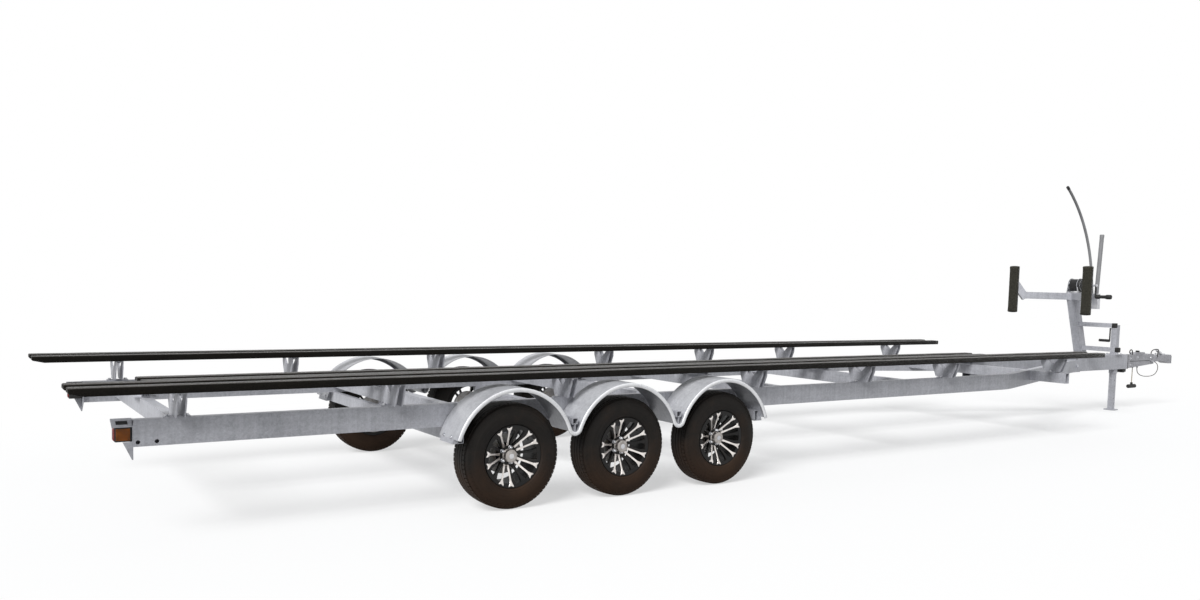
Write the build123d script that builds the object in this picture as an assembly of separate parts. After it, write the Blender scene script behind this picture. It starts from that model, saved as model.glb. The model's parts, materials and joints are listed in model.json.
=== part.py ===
from build123d import *
from math import atan2, cos, degrees, pi, radians, sin, sqrt, tan
import os

# Tri-axle boat trailer with carpeted bunk boards, in millimetres.
# +X points to the coupler, +Y to the left, +Z up.
# The origin is on the ground, at the middle of the overall length and width.

# Overall layout
OVERALL_LENGTH = 13000
MIDDLE_AXLE_X = -3250
TYRE_GAP = 180
TYRE_RAIL_GAP = 21
RIDE_HEIGHT = 180

# Clearances between pieces
SEAT_GAP = 0.3
SPINDLE_CLEARANCE = 0.1
JACK_CLEARANCE = 0.4
REEL_CLEARANCE = 0.1
RUNNING_GAP = 6

# Tyres and wheels
TYRE_OD = 663
TYRE_WIDTH = 205
TREAD_SHOULDER = 30
SIDEWALL_START = 4
RIM_WIDTH = 176
RIM_SEAT_R = 177
RIM_WALL = 7
RIM_FLANGE_R = 195
RIM_FLANGE_T = 12
WHEEL_BOSS_R = 76
WHEEL_BOSS_T = 22
SPOKE_PAIRS = 5
SPOKE_PAIR_ANGLE = 23
SPOKE_PHASE = 51
SPOKE_ROOT_HALF = 9
SPOKE_WAIST_HALF = 7
SPOKE_NECK_HALF = 8
SPOKE_FLARE = 28
SPOKE_TIP_HALF = 17
SPOKE_DEPTH = 22

# Hubs, brake rotors and spindles
SPINDLE_D = 40
SPINDLE_REACH = 52
HUB_BARREL_R = 42
HUB_FLANGE_R = 70
HUB_FLANGE_T = 12
HUB_CAP_R = 33
HUB_CAP_REACH = 66
ROTOR_R = 125
ROTOR_T = 20
ROTOR_BACK = 40

# Torsion axles
AXLE_TUBE = 76
AXLE_ARM_LENGTH = 150
AXLE_ARM_ANGLE = 45
AXLE_ARM_WIDTH = 72
AXLE_ARM_T = 28
AXLE_PAD_LENGTH = 190

# Frame rails, tongue and crossmembers
FRAME_WIDTH = 2028
RAIL_W = 60
RAIL_H = 140
RAIL_WALL = 5
RAIL_SETBACK = 306
RAIL_MEET_SETBACK = 1339
RAIL_BEND_SETBACK = 2671
RAIL_BEND_R = 700
RAIL_LAP = 35
RAIL_HOLE_D = 22
RAIL_HOLE_UP = 23
RAIL_HOLE_SETBACKS = (22, 112)
TONGUE_W = 100
TONGUE_H = 180
TONGUE_WALL = 6
CROSS_W = 60
CROSS_H = 100
CROSS_WALL = 4
REAR_CROSS_AHEAD = 214
CROSS_AXLE_OFFSETS = (-1188, 370, 1653, 3132)
FRONT_CROSS_AHEAD = 760
OUTRIGGER_PAST = 57

# Fenders and what carries them
FENDER_VALLEY_HALF = 5.5
FENDER_VALLEY_R = 32
FENDER_LIFT = 10
FENDER_T = 3
FENDER_LIP = 22
FENDER_OVERHANG = 30
FENDER_RAIL_GAP = 4
FENDER_END_ANGLE = 17
FENDER_BEAM_W = 40
FENDER_BEAM_H = 76
FENDER_BEAM_GAP = 7
FENDER_BEAM_TRIM = 60
FENDER_ARM = 40
FENDER_ARM_WALL = 4
FENDER_ARM_LIFT = 48
FENDER_WEB_T = 6

# Bunk boards and their brackets
BOARD_W = 95
BOARD_T = 44
BOARD_NOSE = 28
BOARD_BEVEL = 72
BUNK_RAIL_OFFSET = 16
BUNK_PAIR_HALF = 93
BUNK_OVER_FENDER = 32
BUNK_PAST_FRONT = 688
CENTRE_BUNK_AHEAD = 190
CENTRE_BUNK_PAST_FRONT = 186
CENTRE_BUNK_LIFT = 64
BRACKET_T = 6
BRACKET_SPREAD = 42
BRACKET_BODY_W = 170
BRACKET_PRONG_W = 58
BRACKET_SHOULDER = 38
BRACKET_NOTCH_DROP = 74
BRACKET_NOTCH_R = 24
BRACKET_CORNER_R = 20
BRACKET_FOOT_LENGTH = 128
BRACKET_FOOT_T = 8
BRACKET_TAB_T = 6
BRACKET_AXLE_OFFSETS = (-340, 1350, 2560, 3670)

# Tail lamps at the rail ends
LAMP_LENGTH = 86
LAMP_W = 64
LAMP_H = 76
LAMP_CORNER_R = 12
LAMP_PLATE_T = 4
LAMP_PLATE_MARGIN = 10
LAMP_HOOD_RUN = 58
LAMP_HOOD_RISE = 36
LAMP_WINDOW_LENGTH = 56
LAMP_WINDOW_W = 30
LAMP_FLAG_W = 84
LAMP_FLAG_DROP = 66

# Winch post, bow stop and steps
POST_W = 100
POST_SETBACK = 1005
POST_HEIGHT = 668
POST_RAKE = 19
POST_WALL = 6
ARM_H = 80
ARM_W = 70
ARM_BEND_Y = 380
ARM_END_RISE = 140
ARM_PLATE_H = 280
ARM_PLATE_W = 76
ARM_PLATE_T = 10
PAD_W = 122
PAD_T = 50
PAD_H = 558
PAD_SETBACK = 517
PAD_Y = 448
PAD_DROP = 170
STEP_TUBE = 50
STEP_REACH = 470
STEP_WALL = 4
STEP_LIFTS = (103, 386)

# Grab poles
CURVED_POLE_D = 30
STRAIGHT_POLE_D = 46
POLE_SOCKET_AHEAD = 170
POLE_SOCKET_Y = -156
POLE_SOCKET_LENGTH = 116
POLE_SOCKET_W = 60
POLE_SOCKET_H = 180
POLE_PITCH = 52
CURVED_POLE_LEAN = 10
CURVED_POLE_RISE = 200
CURVED_POLE_R = 1600
CURVED_POLE_ANGLE = 43
STRAIGHT_POLE_LENGTH = 685
STRAIGHT_POLE_LEAN = 2

# Winch
WINCH_AHEAD = 40
WINCH_BASE_LENGTH = 170
WINCH_INNER_W = 120
WINCH_PLATE_T = 6
WINCH_SHAFT_LIFT = 88
WINCH_SHAFT_D = 24
WINCH_SIDE_R = 62
DRUM_R = 68
DRUM_FLANGE_R = 80
DRUM_FLANGE_T = 4
CRANK_REACH = 240
CRANK_ARM_LENGTH = 130
CRANK_ARM_W = 26
CRANK_ARM_T = 8
CRANK_GRIP_D = 34
CRANK_GRIP_LENGTH = 180

# Jack through the tongue
JACK_SETBACK = 244
JACK_TUBE = 70
JACK_TUBE_WALL = 5
JACK_TOP_Z = 1055
JACK_CAP_T = 18
JACK_BELOW_TONGUE = 50
JACK_FLANGE = 140
JACK_FLANGE_T = 10
JACK_LEG_WALL = 5
JACK_LEG_HEIGHT = 665
JACK_FOOT = 130
JACK_FOOT_T = 12
JACK_PIN_HOLE_D = 16
JACK_PIN_PITCH = 75
JACK_PIN_HOLES = 5
JACK_CRANK_DROP = 45
JACK_CRANK_ARM_LENGTH = 150
JACK_CRANK_ROD_D = 16
JACK_CRANK_GRIP_D = 30
JACK_CRANK_GRIP_LENGTH = 130

# Surge actuator and coupler
ACTUATOR_LENGTH = 640
ACTUATOR_W = 96
ACTUATOR_REAR_H = 168
ACTUATOR_FRONT_H = 124
ACTUATOR_COVER_H = 26
ACTUATOR_COVER_LENGTH = 260
ACTUATOR_SLEEVE_LENGTH = 90
COUPLER_REACH = 490
COUPLER_W = 76
COUPLER_H = 88
COUPLER_NECK_H = 70
HEAD_R = 56
HEAD_H = 112
HEAD_ROUND = 26
BALL_BORE_R = 30
BALL_BORE_DEPTH = 52
LATCH_W = 34
LATCH_LENGTH = 190
LATCH_RISE = 66
LATCH_T = 14

# Safety cable and wiring lead
CABLE_D = 9
GLAND_D = 20
HOOK_LENGTH = 70
HOOK_D = 12
LEAD_D = 9
PLUG_LENGTH = 170
PLUG_R = 24
PLUG_NECK_R = 15
PLUG_NECK_LENGTH = 22

# Heights and places that follow from the sizes above
NOSE_X = OVERALL_LENGTH / 2
TYRE_R = TYRE_OD / 2
TRACK_WIDTH = FRAME_WIDTH + 2 * TYRE_RAIL_GAP + TYRE_WIDTH
AXLE_SPACING = TYRE_OD + TYRE_GAP
TYRE_Y = TRACK_WIDTH / 2
TYRE_INNER_Y = TYRE_Y - TYRE_WIDTH / 2
TYRE_OUTER_Y = TYRE_Y + TYRE_WIDTH / 2
RAIL_OUTER_Y = FRAME_WIDTH / 2
RAIL_Y = RAIL_OUTER_Y - RAIL_W / 2
RAIL_INNER_Y = RAIL_OUTER_Y - RAIL_W
RAIL_REAR_X = RAIL_SETBACK - OVERALL_LENGTH / 2
TONGUE_FRONT_X = NOSE_X - COUPLER_REACH - ACTUATOR_LENGTH
RAIL_MEET_X = TONGUE_FRONT_X - RAIL_MEET_SETBACK
RAIL_BEND_X = RAIL_MEET_X - RAIL_BEND_SETBACK
REAR_CROSS_X = RAIL_REAR_X + REAR_CROSS_AHEAD
FRONT_CROSS_X = RAIL_BEND_X + FRONT_CROSS_AHEAD
CROSS_XS = (REAR_CROSS_X,) + tuple(MIDDLE_AXLE_X + offset for offset in CROSS_AXLE_OFFSETS)
RAIL_BOTTOM_Z = TYRE_R + RIDE_HEIGHT
RAIL_TOP_Z = RAIL_BOTTOM_Z + RAIL_H
TONGUE_TOP_Z = RAIL_BOTTOM_Z + TONGUE_H
TONGUE_REAR_X = FRONT_CROSS_X + CROSS_W / 2
FRONT_CENTRE_X = TONGUE_REAR_X - SEAT_GAP - BRACKET_FOOT_LENGTH / 2
AXLE_TUBE_DX = AXLE_ARM_LENGTH * cos(radians(AXLE_ARM_ANGLE))
AXLE_TUBE_Z = TYRE_R + AXLE_ARM_LENGTH * sin(radians(AXLE_ARM_ANGLE))
ARM_OUTER_Y = TYRE_INNER_Y - RUNNING_GAP
ARM_INNER_Y = ARM_OUTER_Y - AXLE_ARM_T
FENDER_R = AXLE_SPACING / 2 - FENDER_VALLEY_HALF
FENDER_Z = TYRE_R + FENDER_LIFT
FENDER_INNER_Y = RAIL_OUTER_Y + FENDER_RAIL_GAP
FENDER_OUTER_Y = TYRE_OUTER_Y + FENDER_OVERHANG
FENDER_TOP_Z = FENDER_Z + FENDER_R + FENDER_T
BUNK_REAR_X = -OVERALL_LENGTH / 2
BUNK_FRONT_X = FRONT_CROSS_X + BUNK_PAST_FRONT
BUNK_PAIR_Y = RAIL_Y + BUNK_RAIL_OFFSET
OUTRIGGER_Y = BUNK_PAIR_Y + BUNK_PAIR_HALF + OUTRIGGER_PAST
CENTRE_BUNK_REAR_X = RAIL_REAR_X + CENTRE_BUNK_AHEAD
CENTRE_BUNK_FRONT_X = FRONT_CROSS_X + CENTRE_BUNK_PAST_FRONT
AXLE_BRACKET_XS = tuple(MIDDLE_AXLE_X + offset for offset in BRACKET_AXLE_OFFSETS)
REAR_BRACKET_XS = (REAR_CROSS_X, (REAR_CROSS_X + AXLE_BRACKET_XS[0]) / 2)
BRACKET_XS = REAR_BRACKET_XS + AXLE_BRACKET_XS + (FRONT_CROSS_X,)
POST_FOOT_X = TONGUE_FRONT_X - POST_SETBACK
JACK_X = TONGUE_FRONT_X - JACK_SETBACK
POST_TOP_Z = TONGUE_TOP_Z + POST_HEIGHT
POST_TOP_X = POST_FOOT_X - POST_HEIGHT * tan(radians(POST_RAKE))
PAD_X = POST_TOP_X - PAD_SETBACK
ARM_TOP_Z = POST_TOP_Z + ARM_H

# Axle name and its place in axle spacings ahead of the middle axle
AXLES = (("rear", -1), ("middle", 0), ("front", 1))
# Side name and its sign along Y
SIDES = (("right", -1), ("left", 1))


def block(x0, x1, y0, y1, z0, z1):
    """Box between two limits on each axis."""
    middle = Pos((x0 + x1) / 2, (y0 + y1) / 2, (z0 + z1) / 2)
    return middle * Box(abs(x1 - x0), abs(y1 - y0), abs(z1 - z0))


def tube_block(x0, x1, y0, y1, z0, z1, wall, along):
    """Square or rectangular tube between limits, open at both ends along one axis."""
    shrink = {axis: 0 if axis == along else wall for axis in "XYZ"}
    inner = block(x0 + shrink["X"], x1 - shrink["X"], y0 + shrink["Y"], y1 - shrink["Y"],
                  z0 + shrink["Z"], z1 - shrink["Z"])
    return block(x0, x1, y0, y1, z0, z1) - inner


def rod(start, end, diameter):
    """Round bar from one point to another."""
    run = Vector(*end) - Vector(*start)
    plane = Plane(origin=start, z_dir=run)
    return plane * Cylinder(diameter / 2, run.length, align=(Align.CENTER, Align.CENTER, Align.MIN))


def turned(outline):
    """Closed outline of (radius, offset along the axle) turned about the Y axis."""
    return revolve(make_face(Polyline(*outline, close=True)), Axis.Y)


def side_plate(outline, y0, y1):
    """Outline in X and Z given a thickness from y0 to y1."""
    face = make_face(Polyline(*[(x, 0, z) for x, z in outline], close=True))
    return Pos(0, y0, 0) * extrude(face, amount=y1 - y0, dir=(0, 1, 0))


def cross_plate(outline, x0, x1):
    """Outline in Y and Z given a thickness from x0 to x1."""
    face = make_face(Polyline(*[(0, y, z) for y, z in outline], close=True))
    return Pos(x0, 0, 0) * extrude(face, amount=x1 - x0, dir=(1, 0, 0))


def band(points, width):
    """Both sides of a bar of one width along a plan route, mitred at its corners."""
    path = [Vector(*p) for p in points]
    sides = {1: [], -1: []}
    for i, here in enumerate(path):
        arriving = here - path[max(i - 1, 0)] if i else path[1] - here
        leaving = path[i + 1] - here if i + 1 < len(path) else arriving
        along = (arriving.normalized() + leaving.normalized()).normalized()
        across = Vector(-along.Y, along.X)
        reach = width / 2 / along.dot(arriving.normalized())
        for sign, row in sides.items():
            row.append(here + across * (sign * reach))
    return sides[1], sides[-1]


def both_sides(piece):
    """A left-hand piece together with its right-hand twin."""
    return [piece, mirror(piece, about=Plane.XZ)]


def save(node, *solids):
    """Write one node, one or several solids, to its file."""
    shape = solids[0] if len(solids) == 1 else Compound(children=list(solids))
    export_step(shape, f"parts/{node}.step")


def make_tyre():
    """Tyre about the Y axis, round-shouldered, with its beads on the rim's seats."""
    bead_r = RIM_SEAT_R + SEAT_GAP
    bead_v = RIM_WIDTH / 2 - RIM_FLANGE_T - SEAT_GAP
    wall_r = RIM_FLANGE_R + SIDEWALL_START
    shoulder_r = TYRE_R - TREAD_SHOULDER * 0.75
    shoulder_v = TYRE_WIDTH / 2 - TREAD_SHOULDER * 0.2
    tread_v = TYRE_WIDTH / 2 - TREAD_SHOULDER
    edges = [Line((bead_r, -bead_v), (bead_r, bead_v)), Line((TYRE_R, -tread_v), (TYRE_R, tread_v))]
    for s in (-1, 1):
        widest = ((wall_r + shoulder_r) / 2, s * TYRE_WIDTH / 2)
        lower, upper = (wall_r, s * bead_v), (shoulder_r, s * shoulder_v)
        crown = (TYRE_R - (TYRE_R - shoulder_r) * 0.29, s * (tread_v + (shoulder_v - tread_v) * 0.71))
        edges.append(Line((bead_r, s * bead_v), lower))
        edges.append(TangentArc(widest, lower, tangent=(-1, 0)))
        edges.append(TangentArc(widest, upper, tangent=(1, 0)))
        edges.append(ThreePointArc(upper, crown, (TYRE_R, s * tread_v)))
    return revolve(make_face(edges), Axis.Y)


def make_wheel():
    """Alloy wheel about the Y axis: rim barrel, centre boss and pairs of flared spokes."""
    half = RIM_WIDTH / 2
    barrel_r = RIM_SEAT_R - RIM_WALL
    seat_v = half - RIM_FLANGE_T
    barrel = turned([(barrel_r, -half), (RIM_FLANGE_R, -half), (RIM_FLANGE_R, -seat_v), (RIM_SEAT_R, -seat_v),
                     (RIM_SEAT_R, seat_v), (RIM_FLANGE_R, seat_v), (RIM_FLANGE_R, half), (barrel_r, half)])
    bore_r = HUB_CAP_R + SEAT_GAP
    chamfer_r = WHEEL_BOSS_R - WHEEL_BOSS_T / 2
    boss = turned([(bore_r, 0), (WHEEL_BOSS_R, 0), (WHEEL_BOSS_R, WHEEL_BOSS_T / 2),
                   (chamfer_r, WHEEL_BOSS_T), (bore_r, WHEEL_BOSS_T)])
    root_r = WHEEL_BOSS_R - 2 * SPOKE_ROOT_HALF
    waist_r = (root_r + barrel_r) / 2
    tip_r = barrel_r + RIM_WALL / 2
    tip_v = half
    neck_r = tip_r - SPOKE_FLARE
    side = make_face(Polyline((root_r, 0), (root_r, WHEEL_BOSS_T), (tip_r, tip_v),
                              (tip_r, tip_v - SPOKE_DEPTH), close=True))
    slab = extrude(side, amount=2 * SPOKE_TIP_HALF, both=True)
    plan = make_face(Polyline(
        (root_r, 0, -SPOKE_ROOT_HALF), (waist_r, 0, -SPOKE_WAIST_HALF), (neck_r, 0, -SPOKE_NECK_HALF),
        (tip_r, 0, -SPOKE_TIP_HALF), (tip_r, 0, SPOKE_TIP_HALF), (neck_r, 0, SPOKE_NECK_HALF),
        (waist_r, 0, SPOKE_WAIST_HALF), (root_r, 0, SPOKE_ROOT_HALF), close=True))
    spoke = slab & extrude(plan, amount=RIM_WIDTH, both=True, dir=(0, 1, 0))
    turns = [SPOKE_PHASE + 360 / SPOKE_PAIRS * k + s * SPOKE_PAIR_ANGLE / 2
             for k in range(SPOKE_PAIRS) for s in (-1, 1)]
    return barrel + boss + [Rot(0, turn - 90, 0) * spoke for turn in turns]


def make_hub():
    """Hub about the Y axis: barrel, brake rotor, wheel flange and closed cap over the spindle."""
    bore_r = SPINDLE_D / 2 + SPINDLE_CLEARANCE
    back = ARM_OUTER_Y + RUNNING_GAP - TYRE_Y
    bore_end = SPINDLE_REACH + RUNNING_GAP / 3
    rotor_front = -ROTOR_BACK
    rotor_rear = rotor_front - ROTOR_T
    cap_round = HUB_CAP_R / 4
    return turned([
        (bore_r, back), (HUB_BARREL_R, back), (HUB_BARREL_R, rotor_rear), (ROTOR_R, rotor_rear),
        (ROTOR_R, rotor_front), (HUB_BARREL_R, rotor_front), (HUB_BARREL_R, -HUB_FLANGE_T),
        (HUB_FLANGE_R, -HUB_FLANGE_T), (HUB_FLANGE_R, 0), (HUB_CAP_R, 0),
        (HUB_CAP_R, HUB_CAP_REACH - cap_round), (HUB_CAP_R - cap_round, HUB_CAP_REACH), (0, HUB_CAP_REACH),
        (0, bore_end), (bore_r, bore_end)])


def make_axle(x):
    """Torsion axle: cross tube with rail pads, a trailing arm at each end and its spindle."""
    tube_x = x + AXLE_TUBE_DX
    half = AXLE_TUBE / 2
    tube = block(tube_x - half, tube_x + half, -ARM_INNER_Y, ARM_INNER_Y,
                 AXLE_TUBE_Z - half, AXLE_TUBE_Z + half)
    pad = block(tube_x - AXLE_PAD_LENGTH / 2, tube_x + AXLE_PAD_LENGTH / 2, RAIL_INNER_Y,
                min(ARM_INNER_Y, RAIL_OUTER_Y), AXLE_TUBE_Z + half, RAIL_BOTTOM_Z)
    slot = Plane.XZ * (Rot(0, 0, AXLE_ARM_ANGLE) * SlotCenterToCenter(AXLE_ARM_LENGTH, AXLE_ARM_WIDTH))
    middle = (x + AXLE_TUBE_DX / 2, ARM_INNER_Y, (TYRE_R + AXLE_TUBE_Z) / 2)
    arm = Pos(*middle) * extrude(slot, amount=AXLE_ARM_T, dir=(0, 1, 0))
    spindle = rod((x, ARM_INNER_Y, TYRE_R), (x, TYRE_Y + SPINDLE_REACH, TYRE_R), SPINDLE_D)
    return tube + both_sides(pad) + both_sides(arm) + both_sides(spindle)


def rail_plan(width, stretch):
    """Plan of the left rail: straight, bent in towards the tongue, then along its side."""
    tongue_side_y = TONGUE_W / 2 + RAIL_W / 2
    bend_angle = atan2(RAIL_Y - tongue_side_y, RAIL_MEET_X - RAIL_BEND_X)
    end_x = RAIL_MEET_X + RAIL_BEND_R * tan(bend_angle / 2) + RAIL_LAP
    outer, inner = band([(RAIL_REAR_X - stretch, RAIL_Y), (RAIL_BEND_X, RAIL_Y), (RAIL_MEET_X, tongue_side_y),
                         (end_x + stretch, tongue_side_y)], width)
    plan = make_face(Polyline(*(outer + inner[::-1]), close=True))
    for corner, offset in ((outer[1], 1), (inner[1], -1), (outer[2], -1), (inner[2], 1)):
        vertex = plan.vertices().sort_by_distance(corner)[0]
        plan = fillet(vertex, RAIL_BEND_R + offset * width / 2)
    return plan


def make_rail():
    """Left frame rail, a bent rectangular tube, with its filled outline for trimming neighbours."""
    filled = Pos(0, 0, RAIL_BOTTOM_Z) * extrude(rail_plan(RAIL_W, 0), amount=RAIL_H)
    hollow = extrude(rail_plan(RAIL_W - 2 * RAIL_WALL, RAIL_WALL), amount=RAIL_H - 2 * RAIL_WALL)
    rail = filled - Pos(0, 0, RAIL_BOTTOM_Z + RAIL_WALL) * hollow
    z = RAIL_BOTTOM_Z + RAIL_HOLE_UP
    for setback in RAIL_HOLE_SETBACKS:
        x = RAIL_REAR_X + setback
        rail = rail - rod((x, RAIL_Y, z), (x, RAIL_OUTER_Y + RAIL_W, z), RAIL_HOLE_D)
    return rail, filled


def make_crossmembers(rail_outline):
    """Crossmembers between the rails, and the front one with its outriggers past them."""
    bottom = RAIL_TOP_Z - CROSS_H
    bars = [tube_block(x - CROSS_W / 2, x + CROSS_W / 2, -RAIL_INNER_Y, RAIL_INNER_Y, bottom, RAIL_TOP_Z,
                       CROSS_WALL, "Y") for x in CROSS_XS]
    front = tube_block(FRONT_CROSS_X - CROSS_W / 2, FRONT_CROSS_X + CROSS_W / 2, -OUTRIGGER_Y, OUTRIGGER_Y,
                       bottom, RAIL_TOP_Z, CROSS_WALL, "Y")
    for outline in both_sides(rail_outline):
        front = front - outline
    return bars + front.solids()


def make_tongue():
    """Tongue tube with the square hole that the jack passes through."""
    half = JACK_TUBE / 2 + SEAT_GAP
    tube = tube_block(TONGUE_REAR_X, TONGUE_FRONT_X, -TONGUE_W / 2, TONGUE_W / 2, RAIL_BOTTOM_Z, TONGUE_TOP_Z,
                      TONGUE_WALL, "X")
    return tube - block(JACK_X - half, JACK_X + half, -half, half, RAIL_BOTTOM_Z - 1, TONGUE_TOP_Z + 1)


def fender_profile(rise, drop):
    """Side outline of the fender sheet: three arches joined by rounded valleys."""
    reach = FENDER_R + FENDER_VALLEY_R
    lift = sqrt(reach ** 2 - (AXLE_SPACING / 2) ** 2)
    meet = degrees(atan2(lift, AXLE_SPACING / 2))
    edges, ends = [], []
    for offset in (rise, -drop):
        radius = FENDER_R + offset
        for name, place in AXLES:
            centre_x = MIDDLE_AXLE_X + place * AXLE_SPACING
            low = FENDER_END_ANGLE if name == "front" else meet
            high = 180 - (FENDER_END_ANGLE if name == "rear" else meet)
            edges.append(CenterArc((centre_x, FENDER_Z), radius, low, high - low))
            if name != "front":
                valley = (centre_x + AXLE_SPACING / 2, FENDER_Z + lift)
                edges.append(CenterArc(valley, FENDER_VALLEY_R - offset, 180 + meet, 180 - 2 * meet))
        ends.append(((edges[-1] @ 0), (edges[-5] @ 1)))
    edges.append(Line(ends[0][0], ends[1][0]))
    edges.append(Line(ends[0][1], ends[1][1]))
    return Plane.XZ * make_face(edges)


def make_fender():
    """Left fender: the arched sheet and its turned-down outer lip."""
    sheet = extrude(fender_profile(FENDER_T, 0), amount=FENDER_OUTER_Y - FENDER_INNER_Y, dir=(0, 1, 0))
    lip = extrude(fender_profile(FENDER_T, FENDER_LIP), amount=FENDER_T, dir=(0, 1, 0))
    return Pos(0, FENDER_INNER_Y, 0) * sheet + Pos(0, FENDER_OUTER_Y - FENDER_T, 0) * lip


def fender_beam_limits():
    """Rear and front faces of the two beams, each just inside the end arches."""
    half_chord = sqrt(FENDER_R ** 2 - (RAIL_BOTTOM_Z - FENDER_Z) ** 2)
    far = AXLE_SPACING + half_chord - FENDER_BEAM_GAP
    near = far - FENDER_BEAM_W
    return (MIDDLE_AXLE_X - far, MIDDLE_AXLE_X - near), (MIDDLE_AXLE_X + near, MIDDLE_AXLE_X + far)


def make_fender_beams():
    """Two tubes under the rails that carry the fenders' ends."""
    reach = FENDER_OUTER_Y - FENDER_BEAM_TRIM
    return [tube_block(x0, x1, -reach, reach, RAIL_BOTTOM_Z - FENDER_BEAM_H, RAIL_BOTTOM_Z, CROSS_WALL, "Y")
            for x0, x1 in fender_beam_limits()]


def make_fender_brackets():
    """Arms off the rails with a web down to each valley, and a tab from each beam to the sheet."""
    pieces = []
    lift = sqrt((FENDER_R + FENDER_VALLEY_R) ** 2 - (AXLE_SPACING / 2) ** 2)
    valley_z = FENDER_Z + lift - FENDER_VALLEY_R + FENDER_T + SEAT_GAP
    outer = FENDER_OUTER_Y - FENDER_T - SEAT_GAP
    for place in (-0.5, 0.5):
        x = MIDDLE_AXLE_X + place * AXLE_SPACING
        arm_z = max(valley_z + FENDER_ARM_LIFT, RAIL_BOTTOM_Z)
        arm = tube_block(x - FENDER_ARM / 2, x + FENDER_ARM / 2, RAIL_OUTER_Y, outer,
                         arm_z, arm_z + FENDER_ARM, FENDER_ARM_WALL, "Y")
        web = block(x - FENDER_WEB_T / 2, x + FENDER_WEB_T / 2, FENDER_INNER_Y, outer, valley_z, arm_z)
        pieces += both_sides(arm + web)
    inside = FENDER_R - SEAT_GAP
    tab_low = RAIL_BOTTOM_Z - FENDER_BEAM_H
    tab_inner, tab_outer = TYRE_INNER_Y, FENDER_OUTER_Y - FENDER_BEAM_TRIM
    for (x0, x1), place, face in zip(fender_beam_limits(), (-1, 1), (0, 1)):
        centre = (MIDDLE_AXLE_X + place * AXLE_SPACING, tab_inner, FENDER_Z)
        drum = Plane(origin=centre, z_dir=(0, 1, 0)) * Cylinder(
            inside, tab_outer - tab_inner, align=(Align.CENTER, Align.CENTER, Align.MIN))
        start = (x0, x1)[face]
        end = centre[0] + place * FENDER_R
        tab = block(start, end, tab_inner, tab_outer, tab_low, RAIL_BOTTOM_Z) & drum
        pieces += both_sides(tab)
    return pieces


def board(x0, x1, middle_y, low_z):
    """One bunk board with its rear end bevelled below."""
    top_z = low_z + BOARD_T
    nose_z = top_z - BOARD_NOSE
    outline = [(x0, top_z), (x1, top_z), (x1, low_z), (x0 + BOARD_BEVEL, low_z), (x0, nose_z)]
    return side_plate(outline, middle_y - BOARD_W / 2, middle_y + BOARD_W / 2)


def bunk_bracket(x, middle_y, foot_y, foot_w, foot_z, low_z):
    """Two forked plates on a foot, with a tab across both below each board of a pair."""
    body_z = foot_z + BRACKET_FOOT_T
    tab_z = low_z - BRACKET_TAB_T
    height = tab_z - body_z
    inner, outer = BUNK_PAIR_HALF - BRACKET_PRONG_W / 2, BUNK_PAIR_HALF + BRACKET_PRONG_W / 2
    shoulder_z = tab_z - min(BRACKET_SHOULDER, height / 2)
    notch_z = tab_z - min(BRACKET_NOTCH_DROP, height / 2)
    fork = make_face(Polyline(
        (0, -BRACKET_BODY_W / 2, body_z), (0, BRACKET_BODY_W / 2, body_z), (0, outer, shoulder_z),
        (0, outer, tab_z), (0, inner, tab_z), (0, 0, notch_z), (0, -inner, tab_z), (0, -outer, tab_z),
        (0, -outer, shoulder_z), close=True))
    notch = fork.vertices().sort_by_distance((0, 0, notch_z))[0]
    fork = fillet(notch, min(BRACKET_NOTCH_R, height / 2))
    shoulders = fork.vertices().sort_by_distance((0, outer, shoulder_z))[:1]
    shoulders += fork.vertices().sort_by_distance((0, -outer, shoulder_z))[:1]
    fork = fillet(shoulders, min(BRACKET_CORNER_R, height / 4))
    plate = Pos(-BRACKET_T / 2, middle_y, 0) * extrude(fork, amount=BRACKET_T, dir=(1, 0, 0))
    half = (BRACKET_SPREAD + BRACKET_T) / 2
    foot = block(x - BRACKET_FOOT_LENGTH / 2, x + BRACKET_FOOT_LENGTH / 2,
                 foot_y - foot_w / 2, foot_y + foot_w / 2, foot_z, body_z)
    tabs = [block(x - half, x + half, middle_y + s * inner, middle_y + s * outer, tab_z, low_z)
            for s in (-1, 1)]
    return foot + [Pos(x + s * BRACKET_SPREAD / 2, 0, 0) * plate for s in (-1, 1)] + tabs


def lamp_top():
    """Upper face of the lamps, below the hood's outer edge."""
    return RAIL_TOP_Z - LAMP_HOOD_RISE


def make_lamp_bracket():
    """Left lamp bracket: end plate with a pointed flag below, and a windowed hood that slopes up inboard."""
    front = RAIL_REAR_X
    rear = front - LAMP_PLATE_T - LAMP_LENGTH - LAMP_PLATE_MARGIN
    inner = RAIL_OUTER_Y - LAMP_FLAG_W
    end_plate = cross_plate([(inner, RAIL_BOTTOM_Z), (RAIL_OUTER_Y, RAIL_BOTTOM_Z - LAMP_FLAG_DROP),
                             (RAIL_OUTER_Y, lamp_top()), (RAIL_OUTER_Y - LAMP_HOOD_RUN, RAIL_TOP_Z),
                             (inner, RAIL_TOP_Z)], front - LAMP_PLATE_T, front)
    edge_y, ridge_y = RAIL_OUTER_Y, RAIL_OUTER_Y - LAMP_HOOD_RUN
    hood = cross_plate([(edge_y, lamp_top()), (edge_y, lamp_top() + LAMP_PLATE_T),
                        (ridge_y, RAIL_TOP_Z + LAMP_PLATE_T), (ridge_y, RAIL_TOP_Z)], rear, front)
    middle_x, middle_y = (rear + front) / 2, (edge_y + ridge_y) / 2
    window = block(middle_x - LAMP_WINDOW_LENGTH / 2, middle_x + LAMP_WINDOW_LENGTH / 2,
                   middle_y - LAMP_WINDOW_W / 2, middle_y + LAMP_WINDOW_W / 2,
                   lamp_top() - LAMP_PLATE_T, RAIL_TOP_Z + 2 * LAMP_PLATE_T)
    return end_plate + (hood - window)


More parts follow.
